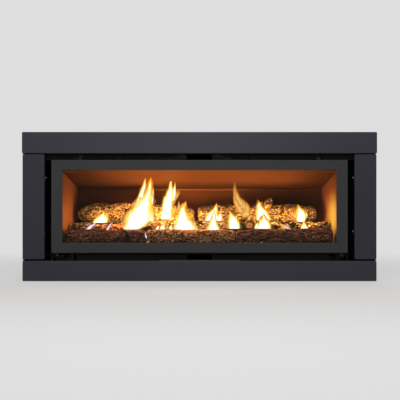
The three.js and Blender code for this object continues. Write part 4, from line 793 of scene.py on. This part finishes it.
def makeTrim():
    low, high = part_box("baffle")
    clear = trim["clear"]
    wall = [v.co for v in nodes["firebox_right"].data.vertices]
    frontWall = min(v.x for v in wall if v.y < trim["frontTo"])
    rearWall = min(v.x for v in wall if v.y > trim["rearFrom"])
    under = {"front": low.y, "rear": high.y - trim["rearGap"]}
    frontEdge = [v.co.z for v in nodes["baffle"].data.vertices if v.co.y < low.y + 0.001]
    heights = {"front": min(frontEdge), "rear": low.z}
    shape = bmesh.new()
    for side in (-1, 1):
        foot = []
        for end, atWall in (("front", False), ("rear", False), ("rear", True), ("front", True)):
            share = (under[end] - trim["wallFront"]) / trim["wallDepth"]
            outer = frontWall + (rearWall - frontWall) * share - clear
            foot.append((side * (outer if atWall else high.x + clear), under[end], heights[end] + clear))
        prism(shape, foot, shifted(foot, (0, 0, trim["sheet"])))
    addPiece("baffleWings", meshFrom(shape, "baffleWings"), "baffleEnamel", "insert")
    shape = bmesh.new()
    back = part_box("firebox_back")[0].y - clear
    half, deep, tall = trim["lipHalf"], trim["lipDepth"], trim["lipHeight"]
    section = [(0, -1), (-0.7, -0.85), (-1, -0.5), (-0.7, -0.15), (0, 0)]
    end = [(-half, back + deep * y, trim["lipTop"] + tall * z) for y, z in section]
    prism(shape, end, shifted(end, (2 * half, 0, 0)))
    addPiece("backLip", meshFrom(shape, "backLip"), "lipEnamel", "insert")


logDetail = {"voxel": 0.0023, "rounding": (0.6, 12), "seed": 11, "seedStep": 3.7, "ringWaver": 0.30}
# how fine each kind of bark relief is: turns of the noise for each metre
barkRelief = {"warp": 22, "fissure": 26, "cross": 75, "plate": 85, "crumb": 330, "lump": 26, "chip": 135}
# node: finish, depth of the grooves and of the lumps (m), grooves round the log, and how chipped it is
logs = {
    "front_log_left": ("plainBark", 0.0016, 0.0014, 2.2, 0.4),
    "front_log_middle": ("frontBark", 0.0026, 0.0030, 3.2, 1.0),
    "front_log_right": ("plainBark", 0.0018, 0.0016, 2.4, 0.4),
    "back_log_left": ("charredLitBark", 0.0026, 0.0030, 2.6, 1.0),
    "back_log_mid_left": ("litBark", 0.0022, 0.0022, 2.8, 0.9),
    "back_log_mid_right": ("charredLitBark", 0.0028, 0.0032, 3.0, 1.0),
    "back_log_right": ("charredLitBark", 0.0024, 0.0024, 2.6, 0.8),
    "cross_log_left": ("charredLitBark", 0.0018, 0.0016, 2.2, 0.8),
    "cross_log_right": ("charredLitBark", 0.0014, 0.0012, 2.2, 0.6),
    "ember_left": ("liveEmber", 0.0022, 0.0044, 3.4, 1.2),
    "ember_middle": ("liveEmber", 0.0022, 0.0044, 3.4, 1.2),
    "ember_right": ("liveEmber", 0.0022, 0.0044, 3.4, 1.2),
}
humps = {"back_log_left": {"x": -0.402, "reach": 0.038, "rise": 0.0075, "fade": 0.02}}
branches = {
    "back_log_mid_right": {
        "foot": (0.252, 0.072, 0.262), "tip": (0.275, 0.034, 0.293), "radii": (0.0215, 0.0185), "sides": 7,
    },
}


def mainAxis(points):
    centre = points.mean(0)
    _, vectors = np.linalg.eigh(np.cov((points - centre).T))
    direction = Vector(vectors[:, 2])
    return Vector(centre), direction if direction.x > 0 else -direction


# a stub of a broken branch, tapered
def addBranch(shape, branch):
    foot, tip = Vector(branch["foot"]), Vector(branch["tip"])
    axis = (tip - foot).normalized()
    side = axis.cross(Vector((0, 0, 1))).normalized()
    up = side.cross(axis)
    angles = [2 * math.pi * (i + 0.4) / branch["sides"] for i in range(branch["sides"])]
    rings = []
    for centre, radius in zip((foot, tip), branch["radii"]):
        rings.append([centre + (side * math.cos(a) + up * math.sin(a)) * radius for a in angles])
    prism(shape, *rings)


# 0 up to the first value, 1 from the second, a straight line between
def portion(value, low, high):
    return min(1.0, max(0.0, (value - low) / (high - low)))


def meshValues(mesh, label):
    values = np.empty(len(mesh.vertices) * 3)
    mesh.vertices.foreach_get(label, values)
    return values.reshape(-1, 3)


def carveLog(node, seed):
    finish, groove, lumpiness, n, chips = logs[node]
    shape = bmesh.new()
    shape.from_mesh(nodes[node].data)
    bmesh.ops.remove_doubles(shape, verts=shape.verts, dist=1e-5)
    if node in branches:
        addBranch(shape, branches[node])
    blank = addObject("blank", meshFrom(shape, "blank"))
    remesh = blank.modifiers.new("remesh", "REMESH")
    remesh.mode = "VOXEL"
    remesh.voxel_size = logDetail["voxel"]
    smooth = blank.modifiers.new("smooth", "SMOOTH")
    smooth.factor, smooth.iterations = logDetail["rounding"]
    fine = plainMesh(blank)
    bpy.data.objects.remove(blank)

    points, normals = meshValues(fine, "co"), meshValues(fine, "normal")
    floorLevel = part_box(node)[0].z
    centre, direction = mainAxis(points)
    side = direction.cross(Vector((0, 0, 1))).normalized()
    up = side.cross(direction)
    heights, cutFaces, ringRadii = [], [], []
    for i in range(len(points)):
        p, normal = Vector(points[i]), Vector(normals[i])
        arm = p - centre
        t, a, b = arm.dot(direction), arm.dot(side), arm.dot(up)
        radius = math.hypot(a, b) or 1e-6
        ca, sa = a / radius * n, b / radius * n
        warp = noise.noise(Vector((t * barkRelief["warp"], ca, sa + seed))) * 0.8
        fissured = Vector((t * barkRelief["fissure"] + warp, ca * 1.5 + warp, sa * 1.5 + seed))
        fissure = 1 - 2.2 * abs(noise.noise(fissured))
        crossed = Vector((t * barkRelief["cross"], ca * 0.8 + 5, sa * 0.8 + seed))
        cross = 1 - 2.6 * abs(noise.noise(crossed))
        plate = noise.noise(Vector((t * barkRelief["plate"], ca * 2.6, sa * 2.6 + seed)))
        crumb = noise.noise(p * barkRelief["crumb"])
        lump = noise.noise(p * barkRelief["lump"] + Vector((seed, 0, 0)))
        chip = noise.noise(p * barkRelief["chip"] + Vector((0, seed, 0))) * chips
        crack = max(0.0, fissure - 0.55) / 0.45 + 0.5 * max(0.0, cross - 0.6) / 0.4
        onCut = portion(abs(normal.dot(direction)), 0.72, 0.92)
        skin = plate * 0.35 + chip + crumb * 0.22 - crack
        rise = lump * lumpiness * 1.6 + skin * groove * (1 - 0.75 * onCut)
        # the foot stays flat on the deck
        points[i] = p + normal * rise * portion(p.z - floorLevel, 0.001, 0.005)
        if node in humps:
            hump = humps[node]
            crest = math.exp(-((p.x - hump["x"]) / hump["reach"]) ** 2)
            points[i][2] += hump["rise"] * crest * portion(p.z - centre.z, 0.0, hump["fade"])
        points[i][2] = max(points[i][2], floorLevel)
        heights.append(portion(0.55 - 0.62 * crack + 0.5 * plate + 0.7 * chip + 0.35 * crumb, 0.0, 1.0))
        cutFaces.append(onCut)
        ringRadii.append(radius * (1 + logDetail["ringWaver"] * noise.noise(Vector((ca, sa, seed)))))
    fine.vertices.foreach_set("co", points.reshape(-1))
    setValues(fine, {"height": heights, "cutFace": cutFaces, "ringRadius": ringRadii})
    fine.update()
    fine.polygons.foreach_set("use_smooth", [True] * len(fine.polygons))
    return fine, finish


# back_log_left becomes backLogLeft
def pieceName(node):
    first, *rest = node.split("_")
    return first + "".join(word.title() for word in rest)


def makeLogs():
    for i, node in enumerate(logs):
        mesh, finish = carveLog(node, logDetail["seed"] + logDetail["seedStep"] * i)
        addPiece(pieceName(node), mesh, finish, "insert", [node])


# flames: leaf-shaped shells, thin at the rim; each row stands at one depth (m)
fireRow = {"front": -0.060, "rear": 0.028, "gap": -0.1265, "edge": -0.1275}
flameShape = {
    "rows": 40, "sides": 20, "depth": 0.30, "ragged": 0.16, "sway": 6.0, "waver": 9.0, "thinnest": 0.2,
    "stagger": 0.003, "seed": 5, "seedStep": 1.7,
}
# a glow behind each hot flame of at least this half width (mm): its share of the height, how far behind (m)
haze = {"fromHalf": 20, "share": 0.8, "behind": 0.012}
flameKinds = {"hot": "flamesHot", "wisp": "flamesWispy", "blue": "flamesBlue", "haze": "flamesHaze"}
# kind, row, then height, place along x and half width (mm) from the foot to the tip
flames = [
    # left flame over the back log
    ("hot", "rear", [(210, -392, 25), (229, -385, 21), (243, -380, 11), (260, -376, 0)]),
    ("hot", "rear", [(218, -371, 9), (237, -368, 6), (255, -364, 0)]),
    ("hot", "rear", [(214, -410, 10), (229, -400, 7), (245, -393, 0)]),
    ("blue", "front", [(185, -430, 15), (200, -416, 14), (215, -395, 0)]),
    ("blue", "front", [(185, -355, 8), (200, -347, 7), (219, -332, 0)]),
    # tall forked flame, left of the middle
    ("hot", "front", [(185, -264, 25), (215, -239, 41), (246, -230, 45), (273, -216, 34),
        (304, -206, 27), (331, -194, 18), (361, -188, 12), (392, -186, 0)]),
    ("hot", "front", [(269, -234, 17), (304, -223, 15), (338, -215, 11), (361, -210, 7), (388, -207, 0)]),
    ("hot", "front", [(285, -188, 9), (319, -182, 7), (354, -176, 0)]),
    ("wisp", "front", [(277, -249, 13), (300, -238, 12), (327, -230, 0)]),
    ("wisp", "rear", [(205, -292, 13), (235, -285, 15), (262, -273, 9), (284, -262, 0)]),
    ("hot", "rear", [(208, -196, 14), (232, -192, 14), (256, -190, 9), (278, -186, 0)]),
    # second tall flame
    ("hot", "rear", [(222, -133, 21), (261, -128, 18), (301, -123, 18),
        (328, -116, 14), (354, -114, 8), (378, -112, 4.4), (402, -109, 2.2), (428, -106, 0)]),
    ("hot", "rear", [(297, -110, 10), (328, -101, 8), (352, -98, 4.7), (374, -95, 0)]),
    ("wisp", "rear", [(277, -110, 10), (308, -97, 9), (336, -87, 5.9), (360, -84, 0)]),
    ("wisp", "rear", [(301, -98, 8), (324, -84, 5.5), (344, -76, 0)]),
    # broad flame in front
    ("hot", "front", [(185, -54, 43), (208, -59, 34), (235, -65, 22),
        (262, -63, 15), (281, -57, 9), (298, -53, 0)]),
    ("hot", "front", [(254, -69, 10), (273, -67, 7), (290, -65, 0)]),
    ("wisp", "front", [(246, -78, 10), (277, -79, 8), (304, -81, 0)]),
    ("wisp", "front", [(189, -22, 12), (219, -23, 8), (246, -21, 0)]),
    # low tongues between them
    ("hot", "front", [(187, -163, 6), (196, -160, 4.4), (204, -158, 0)]),
    ("hot", "front", [(187, -143, 11), (201, -139, 6.8), (217, -132, 0)]),
    ("wisp", "front", [(187, -126, 10), (199, -124, 7.4), (209, -120, 0)]),
    ("hot", "front", [(187, -110, 7), (198, -110, 5.0), (208, -107, 0)]),
    # winged flame, right of the middle
    ("hot", "rear", [(218, 56, 40), (237, 51, 23), (257, 59, 14), (273, 65, 7), (291, 68, 0)]),
    ("hot", "rear", [(222, 79, 11), (245, 82, 8), (269, 86, 0)]),
    ("hot", "front", [(185, 53, 24), (204, 53, 15), (223, 54, 11), (246, 56, 5.8), (265, 59, 0)]),
    # short flame at the joint of the front logs
    ("hot", "front", [(189, 133, 20), (208, 132, 20), (231, 127, 17), (246, 120, 9), (262, 113, 0)]),
    ("wisp", "front", [(215, 141, 9), (237, 144, 0)]),
    # tall thin flame over the ring-faced log
    ("wisp", "rear", [(229, 188, 26), (261, 178, 25), (289, 164, 24),
        (316, 147, 15), (344, 141, 8), (368, 139, 4.7), (401, 136, 0)]),
    ("wisp", "rear", [(227, 206, 11), (257, 197, 9), (285, 183, 8), (316, 168, 0)]),
    ("wisp", "rear", [(253, 163, 13), (293, 143, 10), (328, 131, 0)]),
    # flame before the broken branch
    ("hot", "rear", [(218, 254, 23), (237, 249, 24), (257, 243, 19),
        (277, 235, 11), (289, 234, 5.5), (303, 232, 0)]),
    ("wisp", "rear", [(245, 230, 9), (281, 228, 7), (316, 230, 0)]),
    ("hot", "front", [(189, 247, 26), (204, 248, 22), (219, 248, 19), (231, 247, 13), (250, 244, 0)]),
    ("hot", "front", [(190, 218, 7), (204, 221, 4.6), (217, 224, 0)]),
    # right flame over the back log
    ("hot", "rear", [(214, 399, 13), (230, 400, 19), (247, 401, 22),
        (260, 397, 17), (271, 391, 8), (286, 389, 0)]),
    ("hot", "front", [(187, 402, 14), (204, 401, 10), (221, 400, 0)]),
    ("wisp", "front", [(187, 335, 20), (199, 322, 12), (215, 309, 0)]),
    # pilot flame in the gap of the front logs
    ("blue", "gap", [(156, -200, 4.0), (166, -202, 4.6), (180, -205, 0)]),
    # glow at the foot of the front logs
    ("wisp", "gap", [(134, -194, 5.5), (140, -194, 5.8), (147, -195, 0)]),
    ("wisp", "edge", [(130, 154, 8), (138, 153, 8), (144, 153, 0)]),
    ("wisp", "edge", [(130, 174, 4), (138, 174, 4), (144, 174, 0)]),
    ("wisp", "edge", [(130, 205, 4), (138, 205, 4), (144, 205, 0)]),
    ("wisp", "edge", [(130, 234, 8), (138, 234, 8), (144, 233, 0)]),
    # pink wisp over the right ember bed
    ("blue", "front", [(187, 345, 15), (197, 335, 11), (208, 322, 0)]),
]


# the outline between its rows, eased with a cubic through them
def eased(rows, v):
    place = v * (len(rows) - 1)
    i = min(int(place), len(rows) - 2)
    f = place - i
    a, b, c, d = rows[max(i - 1, 0)], rows[i], rows[i + 1], rows[min(i + 2, len(rows) - 1)]
    return [
        0.5 * (2 * q + f * (r - p) + f * f * (2 * p - 5 * q + 4 * r - t) + f ** 3 * (3 * q - p - 3 * r + t))
        for p, q, r, t in zip(a, b, c, d)
    ]


def flameRings(rows, depthPlace, widen, upTo, seed):
    sides = flameShape["sides"]
    for r in range(flameShape["rows"] + 1):
        v = r / flameShape["rows"]
        z, x, half = eased(rows, v * upTo)
        ragged = flameShape["ragged"] * v
        lean = noise.noise(Vector((v * flameShape["sway"], seed, 0))) * half * ragged * 2
        waver = ragged * noise.noise(Vector((v * flameShape["waver"], seed + 9, 0)))
        width = max(half * (1 + waver) * widen, flameShape["thinnest"])
        if upTo < 1:
            width *= math.sqrt(max(0.0, 1 - v * v)) + 0.01
        ring = []
        for i in range(sides):
            a, b = math.cos(2 * math.pi * i / sides), math.sin(2 * math.pi * i / sides)
            y = depthPlace + width * b * flameShape["depth"] / 1000
            ring.append((Vector(((x + lean + width * a) / 1000, y, z / 1000)), 1 - abs(a), v))
        yield ring


def flameMesh(name, shells):
    verts, faces, cores, rises = [], [], [], []
    sides = flameShape["sides"]
    for rings in shells:
        base = len(verts)
        for ring in rings:
            for place, core, rise in ring:
                verts.append(place)
                cores.append(core)
                rises.append(rise)
        for here in range(base, len(verts) - sides, sides):
            for k in range(sides):
                m = (k + 1) % sides
                faces.append((here + k, here + m, here + sides + m, here + sides + k))
        faces.append(tuple(base + k for k in reversed(range(sides))))
        faces.append(tuple(len(verts) - sides + k for k in range(sides)))
    mesh = bpy.data.meshes.new(name)
    mesh.from_pydata(verts, [], faces)
    setValues(mesh, {"core": cores, "rise": rises})
    mesh.polygons.foreach_set("use_smooth", [True] * len(mesh.polygons))
    return mesh


def makeFlames():
    shells = {kind: [] for kind in flameKinds}
    for i, (kind, row, rows) in enumerate(flames):
        seed = i * flameShape["seedStep"] + flameShape["seed"]
        depthPlace = fireRow[row] + flameShape["stagger"] * (i % 5 - 2)
        shells[kind].append(list(flameRings(rows, depthPlace, flameLooks[kind]["widen"], 1.0, seed)))
        if kind == "hot" and max(half for _, _, half in rows) >= haze["fromHalf"]:
            behind, widen = depthPlace + haze["behind"], flameLooks["haze"]["widen"]
            shells["haze"].append(list(flameRings(rows, behind, widen, haze["share"], seed)))
    for kind, name in flameKinds.items():
        finishes[name] = flameFinish(kind)
        piece = addPiece(name, flameMesh(name, shells[kind]), name, "insert")
        piece.visible_diffuse = piece.visible_shadow = False


fireLight = {"colour": (1.0, 0.66, 0.28), "radius": 0.018, "scale": 0.34}
# place (x, y, z) and watts: the flames' light on the logs and the walls
fireLights = [
    (-0.455, -0.070, 0.236, 0.25), (-0.395, -0.010, 0.232, 1.0), (-0.300, -0.020, 0.225, 1.1),
    (-0.312, -0.005, 0.258, 0.2), (-0.245, -0.050, 0.215, 1.6), (-0.215, -0.030, 0.275, 2.2),
    (-0.125, -0.012, 0.250, 2.4), (-0.170, -0.010, 0.238, 0.8), (-0.140, -0.050, 0.208, 0.9),
    (-0.098, -0.045, 0.212, 0.7), (0.005, -0.010, 0.245, 0.7), (-0.060, -0.050, 0.222, 2.3),
    (-0.120, -0.100, 0.212, 0.35), (-0.050, -0.105, 0.212, 0.50), (0.020, -0.105, 0.212, 0.50),
    (0.090, -0.105, 0.212, 0.35), (-0.330, -0.105, 0.212, 0.15), (-0.230, -0.105, 0.212, 0.20),
    (0.200, -0.105, 0.212, 0.20), (0.300, -0.105, 0.212, 0.18), (0.400, -0.105, 0.212, 0.18),
    (-0.030, -0.020, 0.240, 0.6), (0.055, -0.030, 0.225, 1.6), (0.125, -0.055, 0.215, 1.0),
    (0.185, -0.012, 0.250, 1.2), (0.250, -0.030, 0.230, 1.5), (0.262, 0.000, 0.305, 0.10),
    (0.305, -0.028, 0.226, 1.8), (0.395, -0.012, 0.240, 1.7), (0.415, -0.050, 0.205, 0.5),
    (0.455, -0.070, 0.236, 1.0),
]


def makeFireLights():
    for i, (*place, watts) in enumerate(fireLights):
        lamp = addLamp("fireLight%02d" % i, "POINT", place, watts * fireLight["scale"])
        lamp.data.color = fireLight["colour"]
        lamp.data.shadow_soft_size = fireLight["radius"]
        lamp.visible_camera = lamp.visible_glossy = False


# a Geometry Nodes tree with named inputs, and its sockets' identifiers
def openTree(name, wanted):
    tree = bpy.data.node_groups.new(name, "GeometryNodeTree")
    identifiers = {}
    for label, kind, value in (("Geometry", "Geometry", None), *wanted, ("Finish", "Material", None)):
        socket = tree.interface.new_socket(label, in_out="INPUT", socket_type="NodeSocket" + kind)
        if value is not None:
            socket.default_value = value
        identifiers[label] = socket.identifier
    tree.interface.new_socket("Geometry", in_out="OUTPUT", socket_type="NodeSocketGeometry")
    return tree, identifiers, tree.nodes.new("NodeGroupInput").outputs


# sets one object on each point, and ends the tree in real geometry with its finish
def closeTree(tree, entry, spread):
    laid = put(tree, "GeometryNodeInstanceOnPoints", spread)
    real = put(tree, "GeometryNodeRealizeInstances", {0: laid.outputs[0]})
    paint = put(tree, "GeometryNodeSetMaterial", {"Geometry": real.outputs[0], "Material": entry["Finish"]})
    put(tree, "NodeGroupOutput", {0: paint.outputs[0]})


# runs a tree on a mesh and gives back the plain result
def grown(name, mesh, tree, identifiers, inputs):
    holder = addObject(name, mesh)
    laid = holder.modifiers.new("grown", "NODES")
    laid.node_group = tree
    for label, value in inputs.items():
        laid[identifiers[label]] = value
    result = plainMesh(holder)
    bpy.data.objects.remove(holder)
    return result


# crumbs of burnt ceramic, scattered by Geometry Nodes: size (m), chipping and its scale, spread of sizes,
# how far up a face has to look, and how many lie on each piece (to the square metre)
crumbs = {
    "size": 0.0026,
    "rough": 0.55,
    "chips": 420.0,
    "spread": (0.55, 1.45),
    "turn": 6.283,
    "seed": 4,
    "upright": 0.25,
    "beds": {
        "emberLeft": 9000, "emberMiddle": 9000, "emberRight": 9000, "backLogLeft": 2600,
        "backLogMidLeft": 2600, "backLogMidRight": 2600, "backLogRight": 2600, "frontLogMiddle": 1500,
    },
}


def crumbTree():
    tree, identifiers, entry = openTree("crumbScatter", (
        ("Density", "Float", 1000.0),
        ("Crumb Size", "Float", crumbs["size"]),
        ("Seed", "Int", crumbs["seed"]),
    ))
    facing = put(tree, "SeparateXYZ", {0: put(tree, "GeometryNodeInputNormal").outputs[0]}).outputs["Z"]
    points = put(tree, "GeometryNodeDistributePointsOnFaces", {
        "Mesh": entry["Geometry"],
        "Selection": calc(tree, "GREATER_THAN", facing, crumbs["upright"]),
        "Density": entry["Density"],
        "Seed": entry["Seed"],
    })
    stone = put(tree, "GeometryNodeMeshIcoSphere", {"Radius": entry["Crumb Size"], "Subdivisions": 1})
    where = put(tree, "GeometryNodeInputPosition").outputs[0]
    chipping = put(tree, "TexNoise", {"Vector": where, "Scale": crumbs["chips"]}).outputs["Color"]
    middle = put(tree, "VectorMath", {0: chipping, 1: (0.5, 0.5, 0.5)}, operation="SUBTRACT").outputs[0]
    depth = calc(tree, "MULTIPLY", entry["Crumb Size"], crumbs["rough"] * 2)
    shift = put(tree, "VectorMath", {0: middle, "Scale": depth}, operation="SCALE").outputs[0]
    chipped = put(tree, "GeometryNodeSetPosition", {"Geometry": stone.outputs["Mesh"], "Offset": shift})
    drawn = []
    for low, high in ((0.0, crumbs["turn"]), crumbs["spread"]):
        inputs = {0: (low,) * 3, 1: (high,) * 3, "Seed": entry["Seed"]}
        drawn.append(put(tree, "FunctionNodeRandomValue", inputs, data_type="FLOAT_VECTOR").outputs[0])
    closeTree(tree, entry, {
        "Points": points.outputs["Points"],
        "Instance": chipped.outputs[0],
        "Rotation": drawn[0],
        "Scale": drawn[1],
    })
    return tree, identifiers


def scatterCrumbs():
    tree, identifiers = crumbTree()
    loose = bmesh.new()
    for i, (bed, density) in enumerate(crumbs["beds"].items()):
        loose.from_mesh(grown(bed + "Bed", bpy.data.objects[bed].data, tree, identifiers, {
            "Density": float(density),
            "Crumb Size": crumbs["size"],
            "Seed": crumbs["seed"] + i,
            "Finish": finishes["burntCrumb"],
        }))
    addPiece("emberCrumbs", meshFrom(loose, "emberCrumbs"), "burntCrumb", "insert")


# screws and rivets, laid by Geometry Nodes (m): the head stands on its washer, and both narrow upwards
# radius and height of the head, radius and height of the washer, sides of the head
fasteners = {
    "screw": (0.0046, 0.0030, 0.0066, 0.0009, 6),
    "stud": (0.0030, 0.0028, 0.0036, 0.0006, 16),
    "rivet": (0.0032, 0.0016, 0.0040, 0.0004, 14),
}
washerSides = 20
narrowing = {"washer": 0.94, "head": 0.82}
# distances from the edges, heights and counts (m)
fastenerPlaces = {
    "roof": {"margin": 0.03, "rear": 0.008, "proud": 0.0025, "wide": 13, "sideMargin": 0.05, "deep": 4},
    "sides": {"proud": 0.0001, "depths": (0.14, 0.19), "heights": (0.05, 0.36), "count": 3},
    "studs": {"depth": -0.2015, "at": ((1, 0.3812), (1, 0.1836), (-1, 0.3812))},
    "firebox": {"proud": 0.0105, "height": 0.364, "at": (0.0, 0.345)},
}


def fastenerTree(kind):
    *sizes, headSides = fasteners[kind]
    labels = ("Head Radius", "Head Height", "Washer Radius", "Washer Height")
    wanted = [(label, "Float", size) for label, size in zip(labels, sizes)]
    tree, identifiers, entry = openTree(kind + "Heads", wanted)

    def disc(label, sides, narrow):
        radius = entry[label + " Radius"]
        return put(tree, "GeometryNodeMeshCone", {
            "Vertices": sides,
            "Radius Top": calc(tree, "MULTIPLY", radius, narrow),
            "Radius Bottom": radius,
            "Depth": entry[label + " Height"],
        }).outputs["Mesh"]

    washer = disc("Washer", washerSides, narrowing["washer"])
    head = disc("Head", headSides, narrowing["head"])
    rise = put(tree, "CombineXYZ", {"Z": entry["Washer Height"]}).outputs[0]
    lifted = put(tree, "GeometryNodeTransform", {"Geometry": head, "Translation": rise}).outputs[0]
    both = put(tree, "GeometryNodeJoinGeometry", {0: washer})
    wire(tree, both, {0: lifted})
    facing = put(tree, "GeometryNodeInputNamedAttribute", {"Name": "facing"}, data_type="FLOAT_VECTOR")
    align = put(tree, "FunctionNodeAlignRotationToVector", {"Vector": facing.outputs[0]}, axis="Z")
    closeTree(tree, entry, {
        "Points": entry["Geometry"],
        "Instance": both.outputs[0],
        "Rotation": align.outputs[0],
    })
    return tree, identifiers


def layFasteners(name, kind, places, finish):
    cloud = bpy.data.meshes.new(name)
    cloud.from_pydata([place for place, _ in places], [], [])
    values = [part for _, facing in places for part in facing]
    cloud.attributes.new("facing", "FLOAT_VECTOR", "POINT").data.foreach_set("vector", values)
    mesh = grown(name + "Points", cloud, *fastenerTree(kind), {"Finish": finishes[finish]})
    addPiece(name, mesh, finish, "insert")


def makeFasteners():
    low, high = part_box("casing_top")
    row = fastenerPlaces["roof"]
    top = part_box("casing_left")[1].z + row["proud"]
    across = steps(low.x + row["margin"], high.x - row["margin"], row["wide"])
    back = steps(low.y + row["sideMargin"], high.y - row["sideMargin"], row["deep"])
    roof = [((x, high.y - row["rear"], top), (0, 0, 1)) for x in across]
    roof += [((side * (high.x - row["rear"]), y, top), (0, 0, 1)) for side in (-1, 1) for y in back]
    layFasteners("roofScrews", "screw", roof, "castMetal")

    row = fastenerPlaces["sides"]
    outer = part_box("base_pan")[1].x + row["proud"]
    spots = [(y, z) for y in row["depths"] for z in steps(*row["heights"], row["count"])]
    walls = [((side * outer, y, z), (side, 0, 0)) for side in (-1, 1) for y, z in spots]
    layFasteners("sideRivets", "rivet", walls, "castMetal")

    row = fastenerPlaces["studs"]
    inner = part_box("right_stile")[0].x
    studs = [((side * inner, row["depth"], z), (-side, 0, 0)) for side, z in row["at"]]
    layFasteners("frameStuds", "stud", studs, "brightStud")

    row = fastenerPlaces["firebox"]
    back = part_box("firebox_back")[0].y + row["proud"]
    rivets = [((x, back, row["height"]), (0, -1, 0)) for x in row["at"]]
    layFasteners("fireboxRivets", "rivet", rivets, "warmEnamel")


makeFlue()
makeControls()
makeStops()
makeTrim()
makeLogs()
print("logs carved")
scatterCrumbs()
print("crumbs scattered")
makeFlames()
makeFireLights()
print("flames lit")
makeFasteners()
print("fasteners laid")

scene.view_settings.view_transform = "Standard"
scene.cycles.transparent_max_bounces = 32
